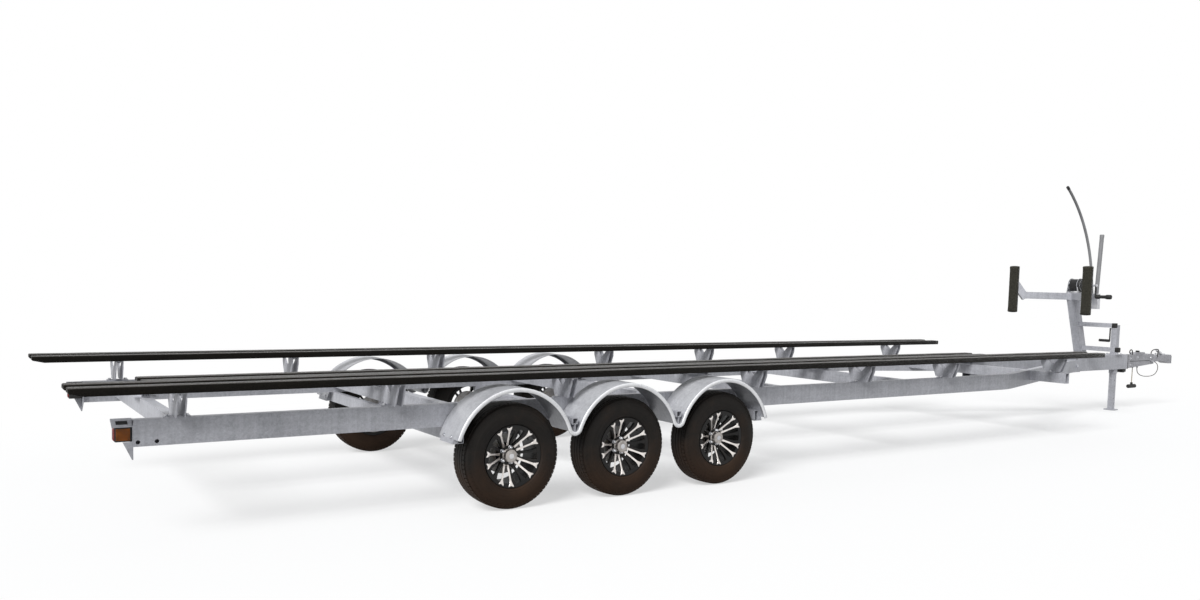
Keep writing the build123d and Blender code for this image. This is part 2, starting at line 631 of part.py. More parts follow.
def make_tail_lamp():
    """Left tail lamp, a box with rounded lens corners under the bracket's hood."""
    front = RAIL_REAR_X - LAMP_PLATE_T
    top = lamp_top()
    lamp = block(front - LAMP_LENGTH, front, RAIL_OUTER_Y - LAMP_W, RAIL_OUTER_Y, top - LAMP_H, top)
    rear_corners = lamp.edges().filter_by(Axis.Z).group_by(Axis.X)[0]
    return fillet(rear_corners, LAMP_CORNER_R)


def post_x(z):
    """Middle of the raked winch post at a height."""
    return POST_FOOT_X - (z - TONGUE_TOP_Z) * tan(radians(POST_RAKE))


def make_post():
    """Raked square winch post, open at the top, on the tongue, and its filled outline."""
    half = POST_W / 2 / cos(radians(POST_RAKE))
    wall = POST_WALL / cos(radians(POST_RAKE))
    outline = [(POST_FOOT_X - half, TONGUE_TOP_Z), (POST_FOOT_X + half, TONGUE_TOP_Z),
               (POST_TOP_X + half, POST_TOP_Z), (POST_TOP_X - half, POST_TOP_Z)]
    inner = [(POST_FOOT_X - half + wall, TONGUE_TOP_Z), (POST_FOOT_X + half - wall, TONGUE_TOP_Z),
             (POST_TOP_X + half - wall, POST_TOP_Z), (POST_TOP_X - half + wall, POST_TOP_Z)]
    filled = side_plate(outline, -POST_W / 2, POST_W / 2)
    return filled - side_plate(inner, POST_WALL - POST_W / 2, POST_W / 2 - POST_WALL), filled


def make_bow_stop():
    """Swept-back arms on the post's top whose ends bend up to a plate behind each pad."""
    back_x = PAD_X + PAD_T / 2
    apex_x = POST_TOP_X + POST_W / 2 - ARM_W / 2
    bend_x = apex_x + (back_x - apex_x) * ARM_BEND_Y / PAD_Y
    outer, inner = band([(bend_x, -ARM_BEND_Y), (apex_x, 0), (bend_x, ARM_BEND_Y)], ARM_W)
    plan = make_face(Polyline(*(outer + inner[::-1]), close=True))
    arms = Pos(0, 0, POST_TOP_Z) * extrude(plan, amount=ARM_H)
    bend = Vector(bend_x, ARM_BEND_Y, POST_TOP_Z + ARM_H / 2)
    end = Vector(back_x, PAD_Y, bend.Z + ARM_END_RISE)
    run = end - bend
    level = Vector(-run.Y, run.X, 0).normalized()
    start = bend - run.normalized() * (ARM_H / 2)
    rise = Plane(origin=start, x_dir=level, z_dir=run) * Box(
        ARM_W, ARM_H, run.length + ARM_H, align=(Align.CENTER, Align.CENTER, Align.MIN))
    rise = rise - block(back_x - ARM_H, back_x, 0, 2 * PAD_Y, POST_TOP_Z - ARM_H, end.Z + 2 * ARM_H)
    plate = block(back_x, back_x + ARM_PLATE_T, PAD_Y - ARM_PLATE_W / 2, PAD_Y + ARM_PLATE_W / 2,
                  end.Z - ARM_PLATE_H / 2, end.Z + ARM_PLATE_H / 2)
    return arms + both_sides(rise + plate)


def make_pads():
    """Upright padded boards on the rear faces of the bow stop's ends."""
    low = POST_TOP_Z - PAD_DROP
    pad = block(PAD_X - PAD_T / 2, PAD_X + PAD_T / 2, PAD_Y - PAD_W / 2, PAD_Y + PAD_W / 2, low, low + PAD_H)
    return both_sides(pad)


def make_steps():
    """Two square tubes standing out from the post's right side."""
    pieces = []
    for lift in STEP_LIFTS:
        z = TONGUE_TOP_Z + lift
        x = post_x(z)
        half = STEP_TUBE / 2
        pieces.append(tube_block(x - half, x + half, -STEP_REACH, -POST_W / 2, z - half, z + half,
                                 STEP_WALL, "Y"))
    return pieces


def pole_places():
    """Middle of the pole socket in X, then of the curved and the straight pole in Y."""
    x = POST_TOP_X + POLE_SOCKET_AHEAD
    return x, POLE_SOCKET_Y + POLE_PITCH / 2, POLE_SOCKET_Y - POLE_PITCH / 2


def make_straight_pole():
    """Straight pole on the socket, leaning out to the right."""
    x, _, y = pole_places()
    lean = radians(STRAIGHT_POLE_LEAN)
    foot = Vector(x, y, ARM_TOP_Z)
    along = Vector(0, -sin(lean), cos(lean))
    width = STRAIGHT_POLE_D
    pole = rod(tuple(foot - along * width), tuple(foot + along * STRAIGHT_POLE_LENGTH), width)
    return pole - block(x - width, x + width, y - width, y + width, ARM_TOP_Z - 2 * width, ARM_TOP_Z)


def make_curved_pole():
    """Pole that leaves the socket leaning back and bends on over the bow stop."""
    x, y, _ = pole_places()
    lean = radians(CURVED_POLE_LEAN)
    back = Vector(-sin(lean), 0, cos(lean))
    foot = Vector(x, y, ARM_TOP_Z)
    bend = foot + back * CURVED_POLE_RISE
    width = CURVED_POLE_D
    rise = rod(tuple(foot - back * width), tuple(bend), width)
    below = block(x - 2 * width, x + 2 * width, y - width, y + width, ARM_TOP_Z - 2 * width, ARM_TOP_Z)
    rise = rise - below
    centre = bend + Vector(-cos(lean), 0, -sin(lean)) * CURVED_POLE_R
    section = Plane(origin=bend, z_dir=back) * Circle(width / 2)
    return rise + revolve(section, Axis(tuple(centre), (0, -1, 0)), CURVED_POLE_ANGLE)


def make_pole_socket(post_outline):
    """Upright socket block for both poles on an angled bar from the post's front face."""
    x, _, _ = pole_places()
    half_l, half_w = POLE_SOCKET_LENGTH / 2, POLE_SOCKET_W / 2
    inner_y = POLE_SOCKET_Y + half_l
    socket = block(x - half_w, x + half_w, POLE_SOCKET_Y - half_l, inner_y, ARM_TOP_Z - POLE_SOCKET_H,
                   ARM_TOP_Z)
    low = POST_TOP_Z - POLE_SOCKET_W
    across = block(x - half_w, x + half_w, inner_y, half_w, low, POST_TOP_Z)
    forward = block(POST_TOP_X, x - half_w, -half_w, half_w, low, POST_TOP_Z)
    return socket + across + (forward - post_outline)


def winch_shaft():
    """Middle of the winch shaft in X and Z."""
    return POST_TOP_X + WINCH_AHEAD, ARM_TOP_Z + WINCH_PLATE_T + WINCH_SHAFT_LIFT


def make_winch_frame():
    """Winch base and two rounded side plates with the shaft's holes."""
    x, z = winch_shaft()
    inner = WINCH_INNER_W / 2
    outer = inner + WINCH_PLATE_T
    half = WINCH_BASE_LENGTH / 2
    base = block(x - half, x + half, -outer, outer, ARM_TOP_Z, ARM_TOP_Z + WINCH_PLATE_T)
    foot = side_plate([(x - half, ARM_TOP_Z), (x + half, ARM_TOP_Z), (x + WINCH_SIDE_R, z),
                       (x - WINCH_SIDE_R, z)], inner, outer)
    plate = foot + rod((x, inner, z), (x, outer, z), 2 * WINCH_SIDE_R)
    hole = rod((x, -2 * outer, z), (x, 2 * outer, z), WINCH_SHAFT_D + 2 * REEL_CLEARANCE)
    return base + both_sides(plate) - hole


def make_winch_reel():
    """Drum full of strap between two flanges, on a shaft that carries the crank outside the frame."""
    x, z = winch_shaft()
    gap = WINCH_INNER_W / 2 - RUNNING_GAP
    shaft = rod((x, -CRANK_REACH, z), (x, WINCH_INNER_W / 2 + WINCH_PLATE_T + RUNNING_GAP, z), WINCH_SHAFT_D)
    drum = rod((x, -gap, z), (x, gap, z), 2 * DRUM_R)
    flanges = [rod((x, s * gap, z), (x, s * (gap - DRUM_FLANGE_T), z), 2 * DRUM_FLANGE_R) for s in (-1, 1)]
    return shaft + drum + flanges


def make_winch_crank():
    """Crank on the shaft's right end, hanging, with its grip pointing outwards."""
    x, z = winch_shaft()
    y = -CRANK_REACH
    low = z - CRANK_ARM_LENGTH
    half = CRANK_ARM_W / 2
    arm = block(x - half, x + half, y - CRANK_ARM_T, y, low, z)
    ends = [rod((x, y, end), (x, y - CRANK_ARM_T, end), CRANK_ARM_W) for end in (low, z)]
    grip = rod((x, y - CRANK_ARM_T, low), (x, y - CRANK_ARM_T - CRANK_GRIP_LENGTH, low), CRANK_GRIP_D)
    return arm + ends + fillet(grip.edges().group_by(Axis.Y)[0], CRANK_GRIP_D / 4)


def make_jack_tube():
    """Jack's outer square tube through the tongue, with its flange and top cap."""
    half = JACK_TUBE / 2
    tube = tube_block(JACK_X - half, JACK_X + half, -half, half,
                      RAIL_BOTTOM_Z - JACK_BELOW_TONGUE, JACK_TOP_Z, JACK_TUBE_WALL, "Z")
    cap = block(JACK_X - half, JACK_X + half, -half, half, JACK_TOP_Z - JACK_CAP_T, JACK_TOP_Z)
    plate = block(JACK_X - JACK_FLANGE / 2, JACK_X + JACK_FLANGE / 2, -JACK_FLANGE / 2, JACK_FLANGE / 2,
                  TONGUE_TOP_Z, TONGUE_TOP_Z + JACK_FLANGE_T)
    return tube + cap + (plate - block(JACK_X - half, JACK_X + half, -half, half, TONGUE_TOP_Z - 1,
                                       TONGUE_TOP_Z + 2 * JACK_FLANGE_T))


def make_jack_leg():
    """Drop leg that slides in the jack tube, with pin holes and a square foot."""
    half = JACK_TUBE / 2 - JACK_TUBE_WALL - JACK_CLEARANCE
    leg = tube_block(JACK_X - half, JACK_X + half, -half, half, JACK_FOOT_T, JACK_LEG_HEIGHT,
                     JACK_LEG_WALL, "Z")
    for k in range(JACK_PIN_HOLES):
        z = JACK_FOOT_T + JACK_PIN_PITCH * (k + 0.8)
        leg = leg - rod((JACK_X, -JACK_TUBE, z), (JACK_X, JACK_TUBE, z), JACK_PIN_HOLE_D)
    foot_half = JACK_FOOT / 2
    foot = block(JACK_X - foot_half, JACK_X + foot_half, -foot_half, foot_half, 0, JACK_FOOT_T)
    corners = foot.edges().filter_by(Axis.Z)
    return leg + fillet(corners, JACK_FOOT / 6)


def make_jack_crank():
    """Jack crank on the left face of the tube: stub, hanging arm and grip."""
    z = JACK_TOP_Z - JACK_CRANK_DROP
    face = JACK_TUBE / 2
    arm_y = face + 2 * JACK_CRANK_ROD_D
    low = z - JACK_CRANK_ARM_LENGTH
    stub = rod((JACK_X, face, z), (JACK_X, arm_y, z), JACK_CRANK_ROD_D)
    arm = rod((JACK_X, arm_y, z + JACK_CRANK_ROD_D / 2), (JACK_X, arm_y, low - JACK_CRANK_ROD_D / 2),
              JACK_CRANK_ROD_D)
    grip = rod((JACK_X, arm_y, low), (JACK_X, arm_y + JACK_CRANK_GRIP_LENGTH, low), JACK_CRANK_GRIP_D)
    return stub + arm + grip


def actuator_front():
    """Front face of the actuator housing."""
    return TONGUE_FRONT_X + ACTUATOR_LENGTH


def make_actuator():
    """Actuator housing on the tongue's end, deep at the rear and tapered below to the front."""
    x0, x1 = TONGUE_FRONT_X, actuator_front()
    top = TONGUE_TOP_Z - TONGUE_WALL
    outline = [(x0, top - ACTUATOR_REAR_H), (x0, top), (x1, top), (x1, top - ACTUATOR_FRONT_H)]
    housing = side_plate(outline, -ACTUATOR_W / 2, ACTUATOR_W / 2)
    half = ACTUATOR_W / 2 - TONGUE_WALL
    tenon = block(x0 - ACTUATOR_SLEEVE_LENGTH, x0, -half, half, RAIL_BOTTOM_Z + TONGUE_WALL + SEAT_GAP,
                  TONGUE_TOP_Z - TONGUE_WALL - SEAT_GAP)
    glands = [rod(start, (start[0], start[1], top - ACTUATOR_FRONT_H), GLAND_D)
              for start in (CABLE_ROUTE[0], LEAD_ROUTE[0])]
    cover_x = (x0 + x1) / 2
    cover = block(cover_x - ACTUATOR_COVER_LENGTH / 2, cover_x + ACTUATOR_COVER_LENGTH / 2,
                  -ACTUATOR_W / 3, ACTUATOR_W / 3, top - TONGUE_WALL, top + ACTUATOR_COVER_H)
    ends = cover.edges().filter_by(Axis.Y).group_by(Axis.Z)[-1]
    return housing + tenon + glands + chamfer(ends, ACTUATOR_COVER_H * 0.7)


def coupler_top():
    """Upper face of the coupler's bar."""
    return TONGUE_TOP_Z - TONGUE_WALL - (ACTUATOR_FRONT_H - COUPLER_H) / 2


def make_coupler():
    """Coupler: tapering bar out of the actuator and a domed head with the ball's socket below."""
    x0 = actuator_front()
    head_x = NOSE_X - HEAD_R
    top = coupler_top()
    plan = make_face(Polyline((x0, -COUPLER_W / 2), (x0, COUPLER_W / 2), (head_x, HEAD_R), (head_x, -HEAD_R),
                              close=True))
    bar = Pos(0, 0, top - HEAD_H) * extrude(plan, amount=HEAD_H)
    waist_x = x0 + (head_x - x0) / 2
    below = top - 2 * HEAD_H
    under = side_plate([(x0, top - COUPLER_H), (waist_x, top - COUPLER_NECK_H),
                        (head_x - HEAD_R, top - HEAD_H), (head_x - HEAD_R, below), (x0, below)],
                       -2 * HEAD_R, 2 * HEAD_R)
    head = rod((head_x, 0, top - HEAD_H), (head_x, 0, top), 2 * HEAD_R)
    head = fillet(head.edges().group_by(Axis.Z)[-1], HEAD_ROUND)
    socket = rod((head_x, 0, top - HEAD_H), (head_x, 0, top - HEAD_H + BALL_BORE_DEPTH), 2 * BALL_BORE_R)
    return (bar - under) + head - socket


def make_latch():
    """Latch lever lying on the coupler's bar and rising towards the rear."""
    top = coupler_top()
    front = NOSE_X - 2 * HEAD_R - HEAD_ROUND
    rear = front - LATCH_LENGTH
    outline = [(front, top), (front, top + LATCH_T), (front - LATCH_LENGTH / 3, top + LATCH_T),
               (rear, top + LATCH_RISE), (rear, top + LATCH_RISE - LATCH_T),
               (front - LATCH_LENGTH / 3 - LATCH_T, top)]
    return side_plate(outline, -LATCH_W / 2, LATCH_W / 2)


def cord_radii(route):
    """Largest arc at each corner of a cord's route that its two runs leave room for."""
    path = [Vector(*p) for p in route]
    radii = []
    for before, here, after in zip(path, path[1:], path[2:]):
        shorter = min((here - before).length, (after - here).length)
        turn = radians((here - before).get_angle(after - here))
        radii.append(0.45 * shorter / tan(turn / 2))
    return radii


def make_cord(route, diameter):
    """Round cord along straight runs and tangent arcs."""
    radii = cord_radii(route)
    print("cord radii", [round(r) for r in radii])
    path = FilletPolyline(*route, radius=radii)
    section = Plane(origin=path @ 0, z_dir=path % 0) * Circle(diameter / 2)
    tube = sweep(section, path=path)
    section_area = pi * diameter ** 2 / 4
    print("cord volume over section times length", round(tube.volume / (section_area * path.length), 4))
    return tube


# Points along the safety cable, from its gland to its hook, and along the lead, from its gland to the plug:
# ahead of the tongue's end, across, and below its top
CABLE_POINTS = (
    (270, -30, 174), (270, -30, 209.5), (294, -31, 245.5), (346, -35, 271.5), (418, -39, 286.5),
    (496, -44, 291.5), (580, -49, 289.5), (658, -54, 275.5), (714, -58, 241.5), (736, -61, 191.5),
    (716, -63, 144.5), (666, -64, 114.5), (610, -64, 101.5),
)
LEAD_POINTS = ((190, -14, 177), (190, -14, 221.5), (187, -16, 271.5), (188, -15, 321.5), (188, -15, 361.5))
CABLE_ROUTE = [(TONGUE_FRONT_X + x, y, TONGUE_TOP_Z - drop) for x, y, drop in CABLE_POINTS]
LEAD_ROUTE = [(TONGUE_FRONT_X + x, y, TONGUE_TOP_Z - drop) for x, y, drop in LEAD_POINTS]


def make_cable_hook():
    """Hook on the safety cable's end, held on the actuator's right face."""
    end = Vector(*CABLE_ROUTE[-1])
    eye = end + (end - Vector(*CABLE_ROUTE[-2])).normalized() * HOOK_LENGTH
    shank = rod(tuple(end), tuple(eye), HOOK_D)
    stud = rod((eye.X, -ACTUATOR_W / 2, eye.Z), (eye.X, eye.Y - HOOK_D, eye.Z), HOOK_D)
    return shank + stud


def make_plug():
    """Plug on the lead's end: round neck and a cross body with turned-down ends."""
    x, y, z = LEAD_ROUTE[-1]
    neck = rod((x, y, z), (x, y, z - PLUG_NECK_LENGTH - PLUG_R), 2 * PLUG_NECK_R)
    body_z = z - PLUG_NECK_LENGTH - PLUG_R
    body = rod((x - PLUG_LENGTH / 2, y, body_z), (x + PLUG_LENGTH / 2, y, body_z), 2 * PLUG_R)
    ends = body.edges().group_by(Axis.X)
    return chamfer(ends[0] + ends[-1], PLUG_R / 3) + neck


os.makedirs("parts", exist_ok=True)

tyre, wheel, hub = make_tyre(), make_wheel(), make_hub()
for axle_name, place in AXLES:
    axle_x = MIDDLE_AXLE_X + place * AXLE_SPACING
    save(f"axle_{axle_name}", make_axle(axle_x))
    for side_name, side in SIDES:
        spot = Pos(axle_x, side * TYRE_Y, TYRE_R) * Rot(0, 0, 0 if side > 0 else 180)
        save(f"tyre_{side_name}_{axle_name}", spot * tyre)
        save(f"wheel_{side_name}_{axle_name}", spot * wheel)
        save(f"hub_{side_name}_{axle_name}", spot * hub)

left_rail, left_outline = make_rail()
left_fender = make_fender()
for side_name, piece in zip(("left", "right"), both_sides(left_rail)):
    save(f"rail_{side_name}", piece)
for side_name, piece in zip(("left", "right"), both_sides(left_fender)):
    save(f"fender_{side_name}", piece)
save("tongue", make_tongue())
save("crossmembers", *make_crossmembers(left_outline))
save("fender_beams", *make_fender_beams())
save("fender_brackets", *make_fender_brackets())

bunk_low_z = FENDER_TOP_Z + BUNK_OVER_FENDER
centre_low_z = RAIL_TOP_Z + CENTRE_BUNK_LIFT
for side_name, side in SIDES:
    board_ys = [side * BUNK_PAIR_Y + s * BUNK_PAIR_HALF for s in (-1, 1)]
    save(f"bunk_{side_name}", *[board(BUNK_REAR_X, BUNK_FRONT_X, y, bunk_low_z) for y in board_ys])
save("bunk_centre", *[board(CENTRE_BUNK_REAR_X, CENTRE_BUNK_FRONT_X, s * BUNK_PAIR_HALF, centre_low_z)
                      for s in (-1, 1)])
outer_brackets = []
for bracket_x in BRACKET_XS:
    seat_y = BUNK_PAIR_Y if bracket_x == FRONT_CROSS_X else RAIL_Y
    bracket = bunk_bracket(bracket_x, BUNK_PAIR_Y, seat_y, RAIL_W, RAIL_TOP_Z, bunk_low_z)
    outer_brackets += both_sides(bracket)
save("bunk_brackets", *outer_brackets)
save("centre_brackets", *[bunk_bracket(x, 0, 0, BRACKET_BODY_W, RAIL_TOP_Z, centre_low_z)
                          for x in CROSS_XS + (FRONT_CENTRE_X,)])

save("lamp_brackets", *both_sides(make_lamp_bracket()))
save("tail_lamps", *both_sides(make_tail_lamp()))
post, post_outline = make_post()
save("winch_post", post)
save("bow_stop_arms", make_bow_stop())
save("bow_pads", *make_pads())
save("steps", *make_steps())
save("pole_socket", make_pole_socket(post_outline))
save("pole_curved", make_curved_pole())
save("pole_straight", make_straight_pole())
save("winch_frame", make_winch_frame())
save("winch_reel", make_winch_reel())
save("winch_crank", make_winch_crank())
save("jack_tube", make_jack_tube())
save("jack_leg", make_jack_leg())
save("jack_crank", make_jack_crank())
save("actuator", make_actuator())
save("coupler", make_coupler())
save("coupler_latch", make_latch())
save("safety_cable", make_cord(CABLE_ROUTE, CABLE_D))
save("cable_hook", make_cable_hook())
save("wiring_lead", make_cord(LEAD_ROUTE, LEAD_D))
save("wiring_plug", make_plug())
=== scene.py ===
"""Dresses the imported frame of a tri-axle boat trailer: finishes, tyres, carpet, fasteners and a studio."""

import json
import math
import random

import bmesh
import bpy
from bpy.props import FloatProperty, PointerProperty
from mathutils import Matrix, Vector


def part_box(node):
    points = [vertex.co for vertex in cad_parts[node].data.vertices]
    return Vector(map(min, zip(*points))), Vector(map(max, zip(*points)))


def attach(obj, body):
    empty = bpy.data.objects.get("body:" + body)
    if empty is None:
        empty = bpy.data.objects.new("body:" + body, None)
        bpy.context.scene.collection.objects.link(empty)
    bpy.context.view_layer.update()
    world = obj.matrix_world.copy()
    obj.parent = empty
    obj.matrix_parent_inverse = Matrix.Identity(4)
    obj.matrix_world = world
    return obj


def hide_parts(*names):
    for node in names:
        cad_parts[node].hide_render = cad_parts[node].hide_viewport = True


bl_info = {
    "name": "Tri-axle boat trailer",
    "version": (1, 0, 0),
    "blender": (4, 5, 0),
    "location": "View3D > Sidebar > Trailer",
    "description": "Finishes, tyres, carpeted bunks and fittings for a tri-axle boat trailer",
    "category": "Object",
}

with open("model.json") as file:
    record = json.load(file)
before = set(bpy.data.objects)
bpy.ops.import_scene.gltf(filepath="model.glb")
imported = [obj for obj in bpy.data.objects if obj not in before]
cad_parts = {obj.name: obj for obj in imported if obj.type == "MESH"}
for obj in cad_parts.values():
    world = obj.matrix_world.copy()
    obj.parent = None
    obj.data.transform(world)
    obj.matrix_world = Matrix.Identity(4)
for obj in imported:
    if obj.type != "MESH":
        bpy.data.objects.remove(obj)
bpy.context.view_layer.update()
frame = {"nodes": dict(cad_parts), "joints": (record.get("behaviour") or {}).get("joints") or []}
NODES = frame["nodes"]

AXLES = ("rear", "middle", "front")
SIDES = (("right", -1), ("left", 1))
WHEELS = [(f"{side}_{axle}", sign) for axle in AXLES for side, sign in SIDES]

# Routes of the two free cords, in metres, from the gland to the fitting
CABLE_ROUTE = [
    (5.64, -0.03, 0.5175), (5.64, -0.03, 0.482), (5.664, -0.031, 0.446), (5.716, -0.035, 0.42),
    (5.788, -0.039, 0.405), (5.866, -0.044, 0.4), (5.95, -0.049, 0.402), (6.028, -0.054, 0.416),
    (6.084, -0.058, 0.45), (6.106, -0.061, 0.5), (6.086, -0.063, 0.547), (6.036, -0.064, 0.577),
    (5.98, -0.064, 0.59),
]
LEAD_ROUTE = [
    (5.56, -0.014, 0.5145), (5.56, -0.014, 0.47), (5.557, -0.016, 0.42), (5.558, -0.015, 0.37),
    (5.558, -0.015, 0.33),
]


def srgb(*levels):
    """Linear colour from 8-bit display levels."""
    return tuple((c / 255 / 12.92) if c < 11 else ((c / 255 + 0.055) / 1.055) ** 2.4 for c in levels)


class Socket:
    """One output in a shader tree. Arithmetic on it adds Math nodes."""

    def __init__(self, finish, output):
        self.finish, self.output = finish, output

    def _math(self, operation, *values):
        return self.finish.node("ShaderNodeMath", {"operation": operation}, dict(enumerate(values)))

    def __add__(self, other):
        return self._math("ADD", self, other)

    __radd__ = __add__

    def __sub__(self, other):
        return self._math("SUBTRACT", self, other)

    def __rsub__(self, other):
        return self._math("SUBTRACT", other, self)

    def __mul__(self, other):
        return self._math("MULTIPLY", self, other)

    __rmul__ = __mul__

    def either(self, other):
        """The larger of two values."""
        return self._math("MAXIMUM", self, other)

    def clamp(self):
        return self.finish.node("ShaderNodeClamp", {}, {0: self})


class Tree:
    """A shader tree being built."""

    def __init__(self, tree):
        self.tree = tree

    def node(self, kind, settings=None, inputs=None, output=0):
        """Add one node: its settings first, then its sockets' values or links."""
        made = self.tree.nodes.new(kind)
        for key, value in (settings or {}).items():
            if key == "stops":
                ramp = made.color_ramp.elements
                while len(ramp) < len(value):
                    ramp.new(1)
                for element, (position, colour) in zip(ramp, value):
                    element.position, element.color = position, (*colour, 1)
            else:
                setattr(made, key, value)
        for key, value in (inputs or {}).items():
            self.feed(made.inputs[key], value)
        return Socket(self, made.outputs[output])

    def feed(self, socket, value):
        if isinstance(value, Socket):
            self.tree.links.new(value.output, socket)
        elif hasattr(value, "__len__") and len(value) == 3 and socket.type == "RGBA":
            socket.default_value = (*value, 1)
        else:
            socket.default_value = value


class Finish(Tree):
    """A material being built: its shader's constants, then what varies over the surface."""

    def __init__(self, name, **constants):
        self.material = bpy.data.materials.new(name)
        self.material.use_nodes = True
        super().__init__(self.material.node_tree)
        self.shader = self.tree.nodes["Principled BSDF"]
        self.spot = self.node("ShaderNodeTexCoord", output=3)
        self.set(**constants)

    def set(self, **values):
        """Values or links for the shader's sockets, named with _ for a space."""
        for key, value in values.items():
            self.feed(self.shader.inputs[key.replace("_", " ")], value)
        return self.material

    def place(self, scale):
        """Object coordinates, stretched."""
        return self.node("ShaderNodeMapping", {}, {0: self.spot, 3: scale})

    def axes(self, vector):
        """The three parts of a vector."""
        split = self.node("ShaderNodeSeparateXYZ", {}, {0: vector})
        return [Socket(self, out) for out in split.output.node.outputs]

    def noise(self, scale, detail=3, rough=0.55, over=None):
        return self.node("ShaderNodeTexNoise", {}, {"Vector": over or self.spot, "Scale": scale,
                                                    "Detail": detail, "Roughness": rough})

    def cells(self, scale):
        """A random number for each cell of a scatter."""
        colour = self.node("ShaderNodeTexVoronoi", {}, {"Vector": self.spot, "Scale": scale}, output=1)
        return self.axes(colour)[0]

    def ramp(self, value, *stops):
        return self.node("ShaderNodeValToRGB", {"stops": stops}, {0: value})

    def step(self, value, low, high):
        """Smooth step of a value from 0 at low to 1 at high."""
        return self.node("ShaderNodeMapRange", {"interpolation_type": "SMOOTHSTEP"},
                         {0: value, 1: low, 2: high})

    def mix(self, factor, a, b):
        return self.node("ShaderNodeMix", {"data_type": "RGBA"}, {0: factor, 6: a, 7: b}, output=2)

    def bump(self, height, strength, distance):
        return self.node("ShaderNodeBump", {}, {"Strength": strength, "Distance": distance, "Height": height})


def galvanised(name, pale, dark, roughness, metallic):
    """Hot-dipped zinc: frost-like spangle, cloudy grey patches and faint runs down the faces."""
    f = Finish(name, Metallic=metallic, Specular_IOR_Level=0.5)
    cloud = f.noise(2.3, 5, 0.6)
    patch = f.noise(5, 3, 0.6, f.place((0.7, 0.7, 6)))
    spangle = f.cells(70) * 0.5 + f.cells(160) * 0.5
    runs = f.noise(3, 2, 0.5, f.place((14, 14, 0.6)))
    shade = (cloud * 0.45 + patch * 0.2 + spangle * 0.2 + runs * 0.25).clamp()
    f.set(Base_Color=f.ramp(shade, (0.28, dark), (0.72, pale)))
    f.set(Roughness=roughness + (cloud - 0.5) * 0.25 + (spangle - 0.5) * 0.12)
    grain = f.noise(260, 2, 0.5)
    return f.set(Normal=f.bump(grain * 0.4 + spangle * 0.35 + cloud, 0.22, 0.0012))


def zinc_plate():
    """Bright plated fittings with a faint warm-cool cast."""
    f = Finish("zinc_plate", Metallic=0.85)
    tint = f.noise(22, 3, 0.6)
    f.set(Base_Color=f.ramp(tint, (0.3, srgb(176, 178, 184)), (0.7, srgb(214, 214, 216))))
    f.set(Roughness=0.26 + f.noise(90, 3) * 0.2)
    return f.set(Normal=f.bump(f.noise(420, 2), 0.08, 0.0006))


def carpet(name, dark, pale):
    """Marine carpet: short dark loops and lighter fibre tips; faces turned up are painted a lighter grey,
    painted light on the lit tops mixed with a little dust.
    """
    f = Finish(name, Sheen_Weight=0.5, Sheen_Roughness=0.3, Specular_IOR_Level=0.1)
    loops = f.cells(420)
    tuft = f.noise(700, 2, 0.7)
    wear = f.noise(3, 4, 0.6, f.place((0.5, 4, 4)))
    up = f.axes(f.node("ShaderNodeNewGeometry", output=1))[2]
    # Faces turned up mix towards grey: painted light on the lit tops, with a little dust from the wear noise
    # in it.
    tone_overlay = f.step(up, 0.45, 0.95) * (0.4 + wear * 0.5)
    fibre = f.ramp(loops * 0.6 + tuft * 0.4, (0.2, dark), (0.8, pale))
    f.set(Base_Color=f.mix(tone_overlay * 0.7, fibre, srgb(118, 114, 110)))
    f.set(Roughness=0.92 + tuft * 0.06)
    return f.set(Normal=f.bump(loops * 0.5 + tuft * 0.5, 0.7, 0.002))


def tyre_rubber():
    """Black rubber, browner towards the bottom as a painted warm reflection of the ground, with cloudy
    patches of brown dust.
    """
    f = Finish("tyre_rubber", Specular_IOR_Level=0.18)
    z = f.axes(f.spot)[2]
    grain = f.noise(380, 3, 0.6)
    cloud = f.noise(7, 5, 0.65)
    # Lower part turns brown: painted reflection of the ground; the cloud noise adds random dust patches to
    # it.
    low = 1 - f.step(z, 0.02, 0.42)
    tone_overlay = (low * 0.75 + (cloud - 0.5) * 0.9).clamp()
    f.set(Base_Color=f.mix(tone_overlay * 0.75, f.ramp(cloud, (0.3, srgb(19, 17, 15)), (0.7, srgb(32, 28, 25))),
                           srgb(66, 47, 33)))
    f.set(Roughness=0.62 + tone_overlay * 0.25 + (grain - 0.5) * 0.1)
    return f.set(Normal=f.bump(grain, 0.25, 0.0012))


def black_paint():
    """Gloss black lacquer on the alloy, with patches of brake dust."""
    f = Finish("alloy_black", Coat_Weight=0.12, Coat_Roughness=0.2, Specular_IOR_Level=0.22)
    tone_overlay = f.noise(18, 4, 0.6)
    f.set(Base_Color=f.ramp(tone_overlay, (0.4, srgb(10, 10, 10)), (0.75, srgb(26, 22, 20))))
    return f.set(Roughness=0.3 + tone_overlay * 0.25)


def machined_alloy(name, dull, bright):
    """Lathe-cut bare aluminium with fine turning marks."""
    f = Finish(name, Metallic=0.9)
    fine = f.noise(900, 2, 0.7)
    cloud = f.noise(30, 3, 0.6)
    f.set(Base_Color=f.ramp(cloud, (0.3, dull), (0.7, bright)))
    f.set(Roughness=0.24 + fine * 0.16)
    return f.set(Normal=f.bump(fine, 0.1, 0.0004))


def brake_iron():
    """Grey cast iron and plated rotor with a light bloom of rust, its base colour painted near-white: painted
    light in the shade inside the wheel.
    """
    f = Finish("brake_iron", Metallic=0.15)
    rust = f.noise(26, 5, 0.65)
    # Near-white stops: painted light on the hub and rotor inside the wheel; the brown stop is rust.
    f.set(Base_Color=f.ramp(rust, (0.45, srgb(226, 223, 220)), (0.62, srgb(196, 188, 180)),
                            (0.8, srgb(120, 96, 78))))
    f.set(Roughness=0.42 + rust * 0.3)
    return f.set(Normal=f.bump(f.noise(240, 3), 0.2, 0.0008))


